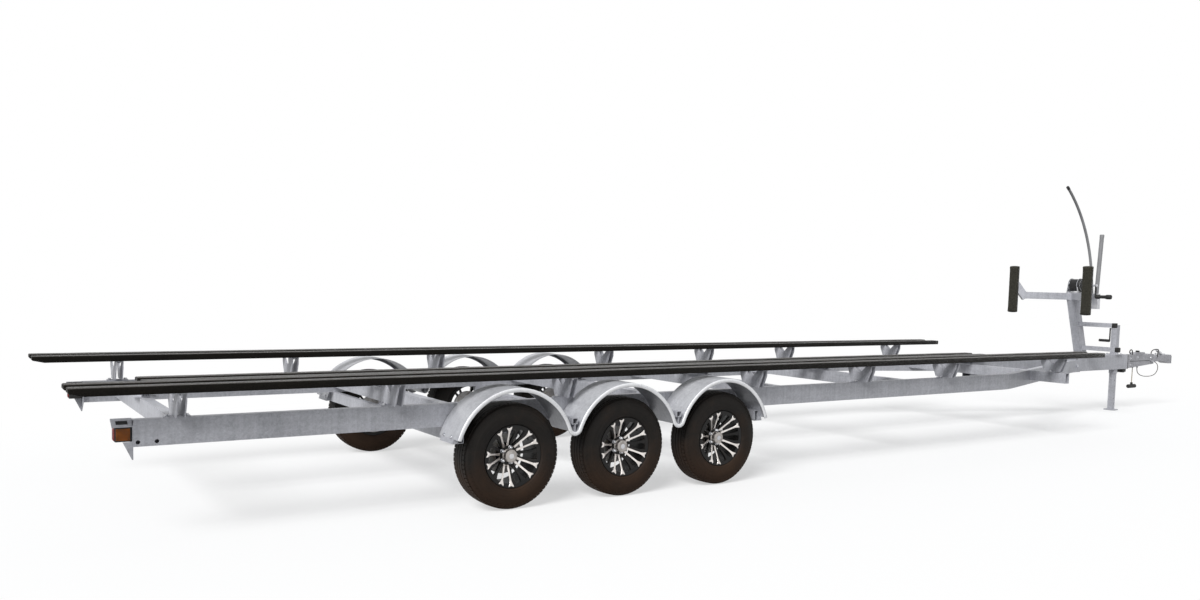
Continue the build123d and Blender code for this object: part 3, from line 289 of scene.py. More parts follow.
def dark_steel():
    """Oiled black steel of hooks and wires, and of the dark bars painted as shadow in the hitch's gaps."""
    f = Finish("dark_steel", Metallic=0.4, Specular_IOR_Level=0.4)
    wear = f.noise(70, 4, 0.6)
    f.set(Base_Color=f.ramp(wear, (0.35, srgb(34, 33, 32)), (0.75, srgb(82, 80, 78))))
    f.set(Roughness=0.4 + wear * 0.25)
    return f.set(Normal=f.bump(f.noise(320, 2), 0.15, 0.0006))


def black_rubber():
    """Moulded black rubber and plastic with a fine matt grain."""
    f = Finish("black_rubber", Specular_IOR_Level=0.4)
    grain = f.noise(600, 2, 0.6)
    scuff = f.noise(40, 4, 0.6)
    f.set(Base_Color=f.ramp(scuff, (0.35, srgb(19, 19, 19)), (0.8, srgb(44, 43, 42))))
    f.set(Roughness=0.5 + scuff * 0.25)
    return f.set(Normal=f.bump(grain, 0.25, 0.0008))


def pole_plastic():
    """Weathered grey tube with faint length-wise drag lines."""
    f = Finish("pole_plastic", Specular_IOR_Level=0.45)
    drag = f.noise(4, 3, 0.6, f.place((60, 60, 3)))
    cloud = f.noise(6, 4, 0.6)
    f.set(Base_Color=f.ramp(drag * 0.5 + cloud * 0.5, (0.3, srgb(116, 116, 118)), (0.7, srgb(156, 156, 158))))
    f.set(Roughness=0.42 + cloud * 0.2)
    return f.set(Normal=f.bump(drag, 0.12, 0.0008))


def webbing():
    """Black winch strap: wound layers seen edge-on and a herringbone weave."""
    f = Finish("winch_strap", Sheen_Weight=0.25, Specular_IOR_Level=0.3)
    weave = f.node("ShaderNodeTexWave", {"bands_direction": "DIAGONAL"},
                   {"Vector": f.spot, "Scale": 130, "Distortion": 1.5, "Detail": 2}, output=1)
    fuzz = f.noise(300, 3, 0.6)
    f.set(Base_Color=f.ramp(weave * 0.5 + fuzz * 0.5, (0.2, srgb(14, 14, 15)), (0.85, srgb(44, 43, 44))))
    f.set(Roughness=0.78 + fuzz * 0.15)
    return f.set(Normal=f.bump(weave, 0.4, 0.001))


def lens(name, bright, deep):
    """Moulded lens plastic: a fine prism grid under a clear face."""
    f = Finish(name, Coat_Weight=0.08, Coat_Roughness=0.2, Specular_IOR_Level=0.2)
    prism = f.node("ShaderNodeTexChecker", {}, {"Vector": f.spot, "Scale": 160}, output=1)
    glow = f.noise(18, 3, 0.5)
    f.set(Base_Color=f.ramp(glow * 0.75 + prism * 0.2, (0.25, deep), (0.7, bright)))
    f.set(Roughness=0.2 + glow * 0.15)
    return f.set(Normal=f.bump(prism, 0.3, 0.0006))


def cord_finish(name, pale, dark):
    """Plastic-coated cord with the strands showing through as a slanted twist."""
    f = Finish(name, Specular_IOR_Level=0.45)
    strand = f.node("ShaderNodeTexWave", {"bands_direction": "DIAGONAL"}, {"Vector": f.spot, "Scale": 70},
                    output=1)
    f.set(Base_Color=f.ramp(strand * 0.7 + f.noise(60) * 0.3, (0.2, dark), (0.8, pale)))
    f.set(Roughness=0.4 + f.noise(200) * 0.2)
    return f.set(Normal=f.bump(strand, 0.3, 0.0008))


FINISH = {}


def make_finishes():
    """Every finish on the trailer, by name."""
    FINISH.update(
        galvanised=galvanised("galvanised_steel", srgb(198, 199, 205), srgb(136, 137, 143), 0.5, 0.2),
        fender=galvanised("fender_metal", srgb(206, 207, 211), srgb(156, 157, 162), 0.42, 0.25),
        cast=galvanised("coupler_metal", srgb(186, 186, 191), srgb(92, 92, 97), 0.5, 0.25),
        # Near-white fender lip: a painted highlight along the rolled edge
        lip=galvanised("fender_lip_painted_highlight", srgb(250, 250, 251), srgb(226, 227, 230), 0.3, 0.1),
        carpet=carpet("bunk_carpet", srgb(13, 12, 10), srgb(36, 33, 29)),
        pad=carpet("pad_carpet", srgb(18, 18, 14), srgb(78, 76, 68)),
        bright=machined_alloy("alloy_bright", srgb(214, 208, 203), srgb(244, 239, 235)),
        cap=machined_alloy("alloy_cap", srgb(142, 137, 133), srgb(190, 185, 181)),
        amber=lens("lamp_amber", srgb(172, 94, 10), srgb(72, 40, 6)),
        red=lens("lamp_red", srgb(150, 18, 14), srgb(66, 6, 6)),
        cable=cord_finish("cable_sheath", srgb(104, 100, 92), srgb(40, 38, 34)),
        lead=cord_finish("lead_sheath", srgb(176, 160, 120), srgb(96, 84, 56)),
        zinc=zinc_plate(), tyre=tyre_rubber(), black_paint=black_paint(), iron=brake_iron(),
        dark=dark_steel(), rubber=black_rubber(), pole=pole_plastic(), strap=webbing())


# Finish of the CAD nodes that are not galvanised, by the start of their names
NODE_FINISH = {
    "tyre": ("tyre_",), "black_paint": ("wheel_",), "iron": ("hub_",),
    "fender": ("fender_left", "fender_right"),
    "carpet": ("bunk_left", "bunk_right", "bunk_centre", "bow_pads"), "amber": ("tail_lamps",),
    "zinc": ("pole_socket", "winch_frame", "winch_reel", "coupler_latch", "cable_hook"),
    "pole": ("pole_curved", "pole_straight"), "rubber": ("winch_crank", "jack_crank", "wiring_plug"),
    "cast": ("actuator", "coupler"), "cable": ("safety_cable",), "lead": ("wiring_lead",),
}


def dress(piece, finish):
    """Give a piece one finish."""
    piece.data.materials.clear()
    piece.data.materials.append(FINISH[finish])


def deselect():
    if bpy.context.mode != "OBJECT":
        bpy.ops.object.mode_set(mode="OBJECT")
    bpy.ops.object.select_all(action="DESELECT")


def only(piece):
    """Select one piece alone and make it active."""
    deselect()
    piece.select_set(True)
    bpy.context.view_layer.objects.active = piece


class TrailerLook(bpy.types.PropertyGroup):
    """Sizes and light levels that a user would change."""

    floor_size: FloatProperty(name="Floor", description="Side of the studio floor", default=120,
                              unit="LENGTH")
    key_strength: FloatProperty(name="Key light", description="Strength of the sun lamp behind", default=3.1)
    sky_level: FloatProperty(name="Sky level", description="Light from all round", default=0.36)
    lens_length: FloatProperty(name="Lens", description="Focal length of the camera", default=29.42,
                               unit="CAMERA")
    tread_depth: FloatProperty(name="Tread", description="Depth of the tyre tread", default=0.0075,
                               unit="LENGTH")
    board_width: FloatProperty(name="Bunk board", description="Width of one bunk board", default=0.095,
                               unit="LENGTH")
    pad_width: FloatProperty(name="Bow pad", description="Width of one bow pad", default=0.122, unit="LENGTH")
    cable_width: FloatProperty(name="Cable", description="Diameter of both cords", default=0.009,
                               unit="LENGTH")


class TRAILER_OT_finishes(bpy.types.Operator):
    """Make every finish and put it on the frame's own pieces"""

    bl_idname = "trailer.finishes"
    bl_label = "Finish the frame"

    def execute(self, context):
        make_finishes()
        for name, node in NODES.items():
            finishes = [finish for finish, starts in NODE_FINISH.items() if name.startswith(starts)]
            dress(node, (finishes + ["galvanised"])[0])
        return {"FINISHED"}


def tube(name, route, width, along, around):
    """Curve of a round cord or bar that follows the route's points."""
    curve = bpy.data.curves.new(name, "CURVE")
    curve.dimensions = "3D"
    spline = curve.splines.new("NURBS")
    spline.points.add(len(route) - 1)
    for point, place in zip(spline.points, route):
        point.co = (*place, 1)
    spline.order_u = 3
    spline.use_endpoint_u = True
    spline.resolution_u = along
    curve.bevel_depth = width / 2
    curve.bevel_resolution = around
    curve.use_fill_caps = True
    piece = bpy.data.objects.new(name, curve)
    bpy.context.collection.objects.link(piece)
    return piece


def lay_cord(name, route, width, finish, node):
    """Smooth round cord through the route's points."""
    return settle(tube(name, route, width, 12, 4), finish, "frame", node)


def bent_wire(name, route, width):
    """Round bar bent through the route's points, as a mesh."""
    only(tube(name, route, width, 6, 2))
    bpy.ops.object.convert(target="MESH")
    return bpy.context.active_object


class TRAILER_OT_cords(bpy.types.Operator):
    """Hang the safety cable and the wiring lead from the actuator"""

    bl_idname = "trailer.cords"
    bl_label = "Hang the cords"

    def execute(self, context):
        width = context.scene.trailer_look.cable_width
        cable = lay_cord("safety_cable_line", CABLE_ROUTE, width, "cable", "safety_cable")
        lead = lay_cord("wiring_lead_line", LEAD_ROUTE, width, "lead", "wiring_lead")
        return {"FINISHED"}


def edit(piece):
    """Open one piece in edit mode with nothing selected."""
    only(piece)
    bpy.ops.object.mode_set(mode="EDIT")
    bpy.ops.mesh.select_mode(type="VERT")
    bpy.ops.mesh.select_all(action="DESELECT")


def choose(piece, kind, test):
    """Select the faces, edges or points of the open mesh that pass a test."""
    bpy.ops.mesh.select_mode(type=kind)
    bpy.ops.mesh.select_all(action="DESELECT")
    mesh = bmesh.from_edit_mesh(piece.data)
    for part in {"VERT": mesh.verts, "EDGE": mesh.edges, "FACE": mesh.faces}[kind]:
        if test(part):
            part.select_set(True)
    mesh.select_flush_mode()
    bmesh.update_edit_mesh(piece.data)


def close(piece, angle=35):
    """Merge doubles, turn the faces outwards and leave edit mode with soft shading below an angle."""
    bpy.ops.mesh.select_mode(type="VERT")
    bpy.ops.mesh.select_all(action="SELECT")
    bpy.ops.mesh.remove_doubles(threshold=1e-5)
    bpy.ops.mesh.normals_make_consistent(inside=False)
    bpy.ops.object.mode_set(mode="OBJECT")
    bpy.ops.object.shade_smooth_by_angle(angle=math.radians(angle))
    return piece


def pull(move):
    """Extrude what is selected by a move."""
    bpy.ops.mesh.extrude_region_move(TRANSFORM_OT_translate={"value": move})


def push(height):
    """Extrude what is selected along its normals."""
    bpy.ops.mesh.extrude_region_shrink_fatten(TRANSFORM_OT_shrink_fatten={"value": height})


def started(name, spot):
    """A new mesh of one point, open in edit mode."""
    deselect()
    bpy.ops.mesh.primitive_plane_add(size=0.001)
    piece = bpy.context.active_object
    piece.name = name
    bpy.ops.object.mode_set(mode="EDIT")
    bpy.ops.mesh.select_mode(type="VERT")
    bpy.ops.mesh.select_all(action="SELECT")
    bpy.ops.mesh.merge(type="CENTER")
    bpy.ops.transform.translate(value=spot)
    return piece


def turned(name, profile, steps=32):
    """A profile of (radius, along) points spun about the Y axis."""
    piece = started(name, (0, profile[0][1], profile[0][0]))
    for (r0, v0), (r1, v1) in zip(profile, profile[1:]):
        pull((0, v1 - v0, r1 - r0))
    bpy.ops.mesh.select_all(action="SELECT")
    bpy.ops.mesh.spin(steps=steps, angle=math.tau, center=(0, 0, 0), axis=(0, 1, 0))
    return close(piece)


def boxed(name, corner, opposite, round_by=0.0, segments=2):
    """A box between two opposite corners with its edges rounded."""
    low, high = zip(*(sorted(pair) for pair in zip(corner, opposite)))
    deselect()
    middle = [(a + b) / 2 for a, b in zip(low, high)]
    bpy.ops.mesh.primitive_cube_add(size=1, location=middle)
    piece = bpy.context.active_object
    piece.name = name
    piece.scale = [b - a for a, b in zip(low, high)]
    bpy.ops.object.transform_apply(location=True, rotation=False, scale=True)
    if round_by:
        edit(piece)
        bpy.ops.mesh.select_all(action="SELECT")
        bpy.ops.mesh.bevel(offset=round_by, segments=segments, affect="EDGES")
        close(piece, 40)
    return piece


def joined(name, pieces):
    """Several pieces made into one mesh."""
    deselect()
    for piece in pieces:
        piece.select_set(True)
    bpy.context.view_layer.objects.active = pieces[0]
    if len(pieces) > 1:
        bpy.ops.object.join()
    pieces[0].name = name
    return pieces[0]


def twin_of(piece, name, place):
    """Copy of a piece with its own mesh, carried to a placing."""
    twin = piece.copy()
    twin.data = piece.data.copy()
    twin.data.transform(place)
    bpy.context.collection.objects.link(twin)
    twin.name = name
    return twin


def repeated(model, name, places):
    """Copies of a model at each placing, made one mesh."""
    return joined(name, [twin_of(model, name, place) for place in places])


def copied(model, name, places):
    """Copies of a model at each placing, made one mesh; the model itself goes."""
    piece = repeated(model, name, places)
    bpy.data.objects.remove(model)
    return piece


def aimed(spot, along, turn=0.0, size=1.0):
    """Placing that carries a model's +Y to a direction at a spot."""
    quat = Vector(along).to_track_quat("Y", "Z")
    return (Matrix.Translation(spot) @ quat.to_matrix().to_4x4() @ Matrix.Rotation(turn, 4, "Y")
            @ Matrix.Scale(size, 4))


def settle(piece, finish, body="frame", *nodes, slot=None):
    """Finish a piece, let it ride on a body and stand for its nodes."""
    dress(piece, finish)
    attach(piece, body)
    if nodes:
        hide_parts(*nodes)
    return piece


def lathed(name, profile, steps, places, *where):
    """A turned piece at each placing, with its finish and body."""
    return settle(copied(turned("model", profile, steps), name, places), *where)


def applied(piece, kind, **settings):
    """Add a modifier to a piece and apply it."""
    modifier = piece.modifiers.new(kind.lower(), kind)
    for key, value in settings.items():
        setattr(modifier, key, value)
    only(piece)
    bpy.ops.object.modifier_apply(modifier=modifier.name)


def corners(node):
    """Low and high corner of a node's box."""
    return [Vector(corner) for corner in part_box(node)]


def middle_of(node):
    """Middle of a node's box."""
    low, high = corners(node)
    return (low + high) / 2


def wheel_centre(wheel):
    return middle_of(f"tyre_{wheel}")


# Half outline of a tyre from the bead over the sidewall to the tread's edge: radius, distance from the middle
TYRE_SIDE = (
    (0.1778, 0.0752), (0.1955, 0.0754), (0.1972, 0.0812), (0.2006, 0.0884), (0.206, 0.0932),
    (0.2104, 0.0958), (0.2128, 0.095), (0.216, 0.0972), (0.23, 0.1004), (0.244, 0.102),
    (0.2456, 0.101), (0.248, 0.1022), (0.264, 0.1014), (0.276, 0.0992), (0.2778, 0.0978),
    (0.28, 0.0982), (0.296, 0.0928), (0.311, 0.0852), (0.317, 0.079), (0.3206, 0.0722),
)
# Edges of the tread's ribs, from the middle
TREAD_RIBS = (0.044, 0.015)
# Bands of the tread: inner and outer edge, whether it is cut in blocks, and half the groove's width
TREAD_BANDS = ((0.044, 0.0722, True, 0.0022), (0.015, 0.044, False, 0.0032), (-1, 0.015, False, 0.0032))
# Radius of the tread's base in the middle, its fall to the edge and the least radius of a tread face
TREAD_BASE, TREAD_FALL, TREAD_LEAST = 0.324, 0.0034, 0.318


def on_tread(face, low, high, side):
    """Whether a face lies in a band of the tread, on one side of its middle or, for 0, on both."""
    middle = face.calc_center_median()
    return low < abs(middle.y) < high and middle.xz.length > TREAD_LEAST and middle.y * side >= 0


def tyre_model(depth):
    """One tyre about the Y axis: sidewalls with rings, side lugs, straight ribs and shoulder blocks."""
    edge = TYRE_SIDE[-1][1]
    half = list(TYRE_SIDE) + [(TREAD_BASE - TREAD_FALL * (v / edge) ** 2, v) for v in TREAD_RIBS]
    tyre = turned("tyre_model", half + [(r, -v) for r, v in half[::-1]], 72)
    edit(tyre)
    for low, high, blocks, groove in TREAD_BANDS:
        for side in (-1, 1) if low > 0 else (0,):
            choose(tyre, "FACE", lambda f: on_tread(f, low, high, side))
            bpy.ops.mesh.inset(thickness=groove, use_individual=blocks, use_even_offset=True)
            push(depth)
    choose(tyre, "FACE", lambda f: 0.299 < f.calc_center_median().xz.length < 0.312)
    bpy.ops.mesh.inset(thickness=0.0025, use_individual=True)
    push(0.0022)
    return close(tyre, 28)


class TRAILER_OT_tyres(bpy.types.Operator):
    """Model one tyre with its tread and fit it to all six wheels"""

    bl_idname = "trailer.tyres"
    bl_label = "Fit the tyres"

    turn = 0.37

    def execute(self, context):
        model = tyre_model(context.scene.trailer_look.tread_depth)
        for k, (wheel, _) in enumerate(WHEELS):
            place = Matrix.Translation(wheel_centre(wheel)) @ Matrix.Rotation(self.turn * k, 4, "Y")
            tyre = twin_of(model, f"road_tyre_{wheel}", place)
            settle(tyre, "tyre", f"wheelset_{wheel}", f"tyre_{wheel}")
        bpy.data.objects.remove(model)
        return {"FINISHED"}


def nut_model():
    """Closed wheel nut about the Y axis: skirt, hexagon and dome."""
    body = turned("nut_body", ((0, 0), (0.0112, 0), (0.0112, 0.011), (0.0098, 0.0125), (0, 0.0125)), 6)
    skirt = turned("nut_skirt", ((0, 0), (0.0128, 0), (0.0128, 0.0015), (0.0112, 0.003), (0, 0.003)), 20)
    dome = turned("nut_dome", ((0, 0.012), (0.0092, 0.012), (0.0088, 0.016), (0.006, 0.019), (0, 0.02)), 16)
    return joined("nut_model", [body, skirt, dome])


# Degrees from the top to the first pair of spokes, between pairs, and from a pair's middle to a spoke
SPOKE_PHASE, SPOKE_PITCH, SPOKE_HALF = 51, 72, 11.5
SPOKE_PAIRS = 5
# Half width of a spoke's machined face against the radius, from the hub to the flared tip, then over the lip
SPOKE_FACE = (
    (0.06, 0.0088), (0.078, 0.0074), (0.11, 0.006), (0.14, 0.006), (0.156, 0.0072), (0.167, 0.0108),
    (0.1752, 0.0152), (0.18, 0.0174), (0.188, 0.0184),
)
# A spoke's front: where it starts to rise, how far out it is there, how long it rises and how steeply
SPOKE_ROOT, SPOKE_BASE, SPOKE_REACH = 0.058, 0.0222, 0.1155
SPOKE_RISE = (0.088 - 0.022) / SPOKE_REACH


def radial(angle):
    """Direction in a wheel's plane at an angle from the top."""
    return Vector((math.sin(angle), 0, math.cos(angle)))


def spoke_front(radius):
    """How far out a spoke's front lies at a radius."""
    return SPOKE_BASE + min(radius - SPOKE_ROOT, SPOKE_REACH) * SPOKE_RISE


def spoke_model():
    """Machined face of one spoke: it lies along +Z, looks to +Y and ends in a flared tip on the lip."""
    rows = [(r, spoke_front(r), w) for r, w in SPOKE_FACE]
    r0, v0, w0 = rows[0]
    piece = started("spoke_face", (-w0, v0, r0))
    for _ in range(2):
        pull((w0, 0, 0))
    bpy.ops.mesh.select_all(action="SELECT")
    for (r0, v0, w0), (r1, v1, w1) in zip(rows, rows[1:]):
        pull((0, v1 - v0, r1 - r0))
        bpy.ops.transform.resize(value=(w1 / w0, 1, 1), center_override=(0, v1, r1))
    for low, high, sink in ((0.187, 1, -0.007), (0.178, 0.1805, -0.0025)):
        choose(piece, "VERT", lambda v: abs(v.co.x) < 1e-4 and low < v.co.z < high)
        bpy.ops.transform.translate(value=(0, 0, sink))
    bpy.ops.mesh.select_all(action="SELECT")
    pull((0, 0.0022, 0))
    close(piece, 40)
    edit(piece)
    choose(piece, "EDGE", lambda e: len(e.link_faces) == 2 and e.calc_face_angle() > 0.9
           and min(v.co.y - spoke_front(v.co.z) for v in e.verts) > 0.0012)
    bpy.ops.mesh.bevel(offset=0.0011, segments=2, affect="EDGES")
    return close(piece, 40)


class TRAILER_OT_wheel_faces(bpy.types.Operator):
    """Lay bright machined faces on the paired spokes of all six wheels"""

    bl_idname = "trailer.wheel_faces"
    bl_label = "Face the spokes"

    def execute(self, context):
        model = spoke_model()
        for wheel, sign in WHEELS:
            centre, out = Matrix.Translation(wheel_centre(wheel)), Vector((0, sign, 0))
            places = []
            for k in range(SPOKE_PAIRS):
                for half in (-SPOKE_HALF, SPOKE_HALF):
                    along = radial(math.radians(SPOKE_PHASE + SPOKE_PITCH * k + half))
                    places.append(centre @ Matrix((out.cross(along), out, along)).transposed().to_4x4())
            settle(repeated(model, f"spoke_faces_{wheel}", places), "bright", f"wheelset_{wheel}")
        bpy.data.objects.remove(model)
        return {"FINISHED"}


# Profiles of the hub's cap, the plug in it and the valve: radius and distance along
HUB_CAP = ((0.0336, 0.0221), (0.04, 0.0221), (0.0405, 0.025), (0.0372, 0.0275), (0.0352, 0.03),
           (0.036, 0.056), (0.0398, 0.061), (0.04, 0.065), (0.037, 0.0672), (0.026, 0.0686),
           (0.018, 0.0684), (0.0172, 0.0672), (0, 0.0672))
HUB_PLUG = ((0, 0.0671), (0.017, 0.0671), (0.0168, 0.069), (0.012, 0.0702), (0, 0.0704))
VALVE = ((0, -0.004), (0.0062, -0.004), (0.0062, 0.004), (0.0042, 0.012), (0.004, 0.028), (0.0048, 0.0285),
         (0.0048, 0.037), (0.0038, 0.039), (0, 0.039))


class TRAILER_OT_wheel_trim(bpy.types.Operator):
    """Add wheel nuts, hub caps and valves to the alloy wheels"""

    bl_idname = "trailer.wheel_trim"
    bl_label = "Trim the wheels"

    nut_circle = 0.05
    boss_face = 0.022
    valve_angle = 0.89

    def execute(self, context):
        models = (nut_model(), turned("cap", HUB_CAP, 40), turned("plug", HUB_PLUG, 24),
                  turned("valve", VALVE, 12))
        looks = ("wheel_nuts", "zinc"), ("hub_cap", "cap"), ("hub_plug", "zinc"), ("valve", "rubber")
        stem = radial(self.valve_angle)
        for wheel, sign in WHEELS:
            centre, out = wheel_centre(wheel), Vector((0, sign, 0))
            nuts = []
            for k in range(SPOKE_PAIRS):
                way = radial(math.radians(SPOKE_PHASE + SPOKE_PITCH / 2 + SPOKE_PITCH * k))
                nuts.append(aimed(centre + way * self.nut_circle + out * self.boss_face, out, 0.4 * k))
            hub = [aimed(centre, out)]
            valve = [aimed(centre + stem * 0.168 + out * 0.03, out - stem * 0.55)]
            for model, (name, finish), places in zip(models, looks, (nuts, hub, hub, valve)):
                settle(repeated(model, f"{name}_{wheel}", places), finish, f"wheelset_{wheel}")
        for model in models:
            bpy.data.objects.remove(model)
        return {"FINISHED"}


# A bunk board's rear end is cut back below by a length and a height; its carpet is uneven in stretches
BOARD_BEVEL, BOARD_RISE, BOARD_STRETCH = 0.072, 0.016, 0.14


def carpet_board(name, low, high, seed):
    """One board in carpet: cut back below at its rear end, soft-edged and not quite even."""
    board = boxed(name, low, high)
    edit(board)
    for k in range(int((high[0] - low[0] - BOARD_BEVEL) / BOARD_STRETCH)):
        bpy.ops.mesh.select_all(action="SELECT")
        bpy.ops.mesh.bisect(plane_co=(low[0] + BOARD_BEVEL + BOARD_STRETCH * k, 0, 0), plane_no=(1, 0, 0))
    choose(board, "VERT", lambda v: v.co.x < low[0] + 1e-4 and v.co.z < low[2] + 1e-4)
    bpy.ops.transform.translate(value=(0, 0, BOARD_RISE))
    choose(board, "EDGE", lambda e: len(e.link_faces) == 2 and e.calc_face_angle() > 0.3)
    bpy.ops.mesh.bevel(offset=0.007, segments=3, affect="EDGES")
    choose(board, "FACE", lambda f: abs(f.normal.x) > 0.95)
    bpy.ops.mesh.inset(thickness=0.004, use_individual=False)
    push(-0.0015)
    close(board, 50)
    rng = random.Random(seed)
    waves = {}
    middle_y, middle_z = (low[1] + high[1]) / 2, (low[2] + high[2]) / 2
    for vertex in board.data.vertices:
        key = (round(vertex.co.x, 2), vertex.co.y > middle_y, vertex.co.z > middle_z)
        sway, lift = waves.setdefault(key, (rng.uniform(-0.0012, 0.0002), rng.uniform(-0.001, 0.0002)))
        vertex.co.y += sway * (1 if key[1] else -1)
        vertex.co.z += lift if key[2] else 0
    return board


class TRAILER_OT_bunks(bpy.types.Operator):
    """Wrap the six bunk boards in carpet"""

    bl_idname = "trailer.bunks"
    bl_label = "Wrap the bunk boards"

    def execute(self, context):
        width = context.scene.trailer_look.board_width
        for k, node in enumerate(("bunk_left", "bunk_right", "bunk_centre")):
            low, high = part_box(node)
            pair = [carpet_board(f"{node}_{side}", (low[0], y, low[2]), (high[0], y + width, high[2]),
                                 10 * k + j)
                    for j, (side, y) in enumerate((("right", low[1]), ("left", high[1] - width)))]
            settle(joined(f"carpet_{node}", pair), "carpet", "frame", node)
        return {"FINISHED"}


def swollen(pad, reach, held):
    """Let a pad swell as foam under its cover, by no more than a reach, and keep one face flat."""
    rest = [v.co.copy() for v in pad.data.vertices]
    cloth = pad.modifiers.new("foam", "CLOTH")
    cloth.settings.use_pressure = True
    cloth.settings.uniform_pressure_force = 4
    cloth.settings.effector_weights.gravity = 0
    for frame_number in range(1, 21):
        bpy.context.scene.frame_set(frame_number)
    only(pad)
    bpy.ops.object.modifier_apply(modifier=cloth.name)
    bpy.context.scene.frame_set(1)
    for vertex, start in zip(pad.data.vertices, rest):
        move = vertex.co - start
        if move.length > reach:
            move *= reach / move.length
        vertex.co = start if held(start) else start + move
    return pad


class TRAILER_OT_bow_pads(bpy.types.Operator):
    """Upholster the two upright pads of the bow stop"""

    bl_idname = "trailer.bow_pads"
    bl_label = "Upholster the bow pads"

    swell = 0.004

    def execute(self, context):
        low, high = corners("bow_pads")
        width, swell = context.scene.trailer_look.pad_width, self.swell
        model = boxed("pad_model", (low.x + swell, -width / 2 + swell, low.z + swell),
                      (high.x, width / 2 - swell, high.z - swell), 0.01, 3)
        applied(model, "REMESH", mode="VOXEL", voxel_size=0.006)
        swollen(model, swell, lambda spot: spot.x > high.x - 0.004)
        applied(model, "SUBSURF", levels=1, render_levels=1)
        bpy.ops.object.shade_smooth()
        for side, sign in SIDES:
            place = Matrix.Translation((0, sign * (high.y - width / 2), 0))
            pad = settle(twin_of(model, f"bow_pad_cover_{side}", place), "pad", "frame", "bow_pads")
        bpy.data.objects.remove(model)
        return {"FINISHED"}


class TRAILER_OT_fender_trim(bpy.types.Operator):
    """Lay a rounded strip along each fender's lip, near-white as a painted highlight"""

    bl_idname = "trailer.fender_trim"
    bl_label = "Trim the fenders"

    foot, crown, border = 0.0025, 0.003, 0.005

    def execute(self, context):
        for side, sign in SIDES:
            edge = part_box(f"fender_{side}")[0 if sign < 0 else 1][1]
            strip = twin_of(NODES[f"fender_{side}"], f"fender_trim_{side}", Matrix.Identity(4))
            strip.parent = None
            strip.matrix_world = Matrix.Identity(4)
            edit(strip)
            bpy.ops.mesh.select_all(action="SELECT")
            bpy.ops.mesh.remove_doubles(threshold=1e-5)
            choose(strip, "FACE", lambda f: f.normal.y * sign < 0.9
                   or abs(f.calc_center_median().y - edge) > 1e-4)
            bpy.ops.mesh.delete(type="FACE")
            bpy.ops.mesh.select_all(action="SELECT")
            pull((0, sign * self.foot, 0))
            bpy.ops.mesh.inset(thickness=self.border, use_even_offset=True)
            bpy.ops.transform.translate(value=(0, sign * self.crown, 0))
            # The strip's near-white finish is a painted highlight
            settle(close(strip, 60), "lip")
        return {"FINISHED"}


def bolt_model():
    """Hexagon bolt head on its washer, about the Y axis."""
    washer = turned("washer", ((0, 0), (0.015, 0), (0.015, 0.002), (0.0146, 0.0024), (0, 0.0024)), 18)
    head = turned("head", ((0, 0.0024), (0.0106, 0.0024), (0.0106, 0.0085), (0.0088, 0.0098), (0, 0.0098)), 6)
    return joined("bolt_model", [washer, head])


# Places of the frame's bolts, in metres: brackets along the trailer, heights of the seats, hitch bolts
BRACKET_XS = (-5.98, -4.785, -3.59, -1.9, -0.69, 0.42, 2.12)
CENTRE_XS = (-5.98, -4.438, -2.88, -1.597, -0.118, 2.0857)
FOOT_Z, TAB_Z, JACK_Z, WINCH_Z, BOW_Z = 0.6595, 0.7865, 0.7015, 1.4455, 1.5395
HITCH_XZ = ((5.43, 0.64), (5.43, 0.56), (5.6, 0.65), (5.93, 0.64))
# A fender's end arches: height of their centre, radius and height of the bolts on them
ARCH_Z, ARCH_RADIUS, ARCH_BOLT_Z = 0.3415, 0.419, 0.4735
ARCH_ENDS = ((-1, -4.093), (1, -2.407))
UP, DOWN = (0, 0, 1), (0, 0, -1)


def four_bolts(node, z, dx, dy):
    """Bolts, heads up, at the corners of a rectangle about a node's middle."""
    x = middle_of(node).x
    return [aimed((x + a, b, z), UP, a) for a in (-dx, dx) for b in (-dy, dy)]


def bolt_places():
    """Each group of bolts with its placings."""
    bunk, fender = [], []
    slope = math.asin((ARCH_BOLT_Z - ARCH_Z) / ARCH_RADIUS)
    for x in BRACKET_XS:
        for s in (-1, 1):
            y = s * (1.0 if x > 2 else 0.984)
            bunk += [aimed((x + dx, y, FOOT_Z), UP, dx * 9 + x) for dx in (-0.05, 0.05)]
            bunk += [aimed((x, s + dy, TAB_Z), DOWN, x) for dy in (-0.093, 0.093)]
    for s in (-1, 1):
        for end, x in ARCH_ENDS:
            out = Vector((end * math.cos(slope), 0, math.sin(slope)))
            fender += [aimed(Vector((x, s * y, ARCH_Z)) + out * ARCH_RADIUS, out, y, 0.8)
                       for y in (1.075, 1.18)]
    hitch = [aimed((x, s * 0.048, z), (0, s, 0), x) for x, z in HITCH_XZ for s in (-1, 1)]
    hitch += [aimed((4.105, s * 0.11, 0.5815), (0, s, 0), 0, 1.7) for s in (-1, 1)]
    return {
        "bunk": bunk,
        "centre": [aimed((x, dy, FOOT_Z), UP, x) for x in CENTRE_XS for dy in (-0.055, 0.055)],
        "jack": four_bolts("jack_tube", JACK_Z, 0.056, 0.056),
        "winch": four_bolts("winch_frame", WINCH_Z, 0.068, 0.04),
        "hitch": hitch,
        "bow": [aimed((3.653, s * 0.448, BOW_Z + dz), (1, 0, 0), dz)
                for s in (-1, 1) for dz in (-0.118, 0.118)],
        "fender": fender,
    }


class TRAILER_OT_bolts(bpy.types.Operator):
    """Put bolts in the brackets, fenders, jack, winch and hitch"""

    bl_idname = "trailer.bolts"
    bl_label = "Fit the bolts"

    def execute(self, context):
        model = bolt_model()
        for group, places in bolt_places().items():
            settle(repeated(model, f"bolts_{group}", places), "zinc")
        bpy.data.objects.remove(model)
        return {"FINISHED"}


# Bands across a lens, raised and sunk in turn
LENS_BANDS = 12


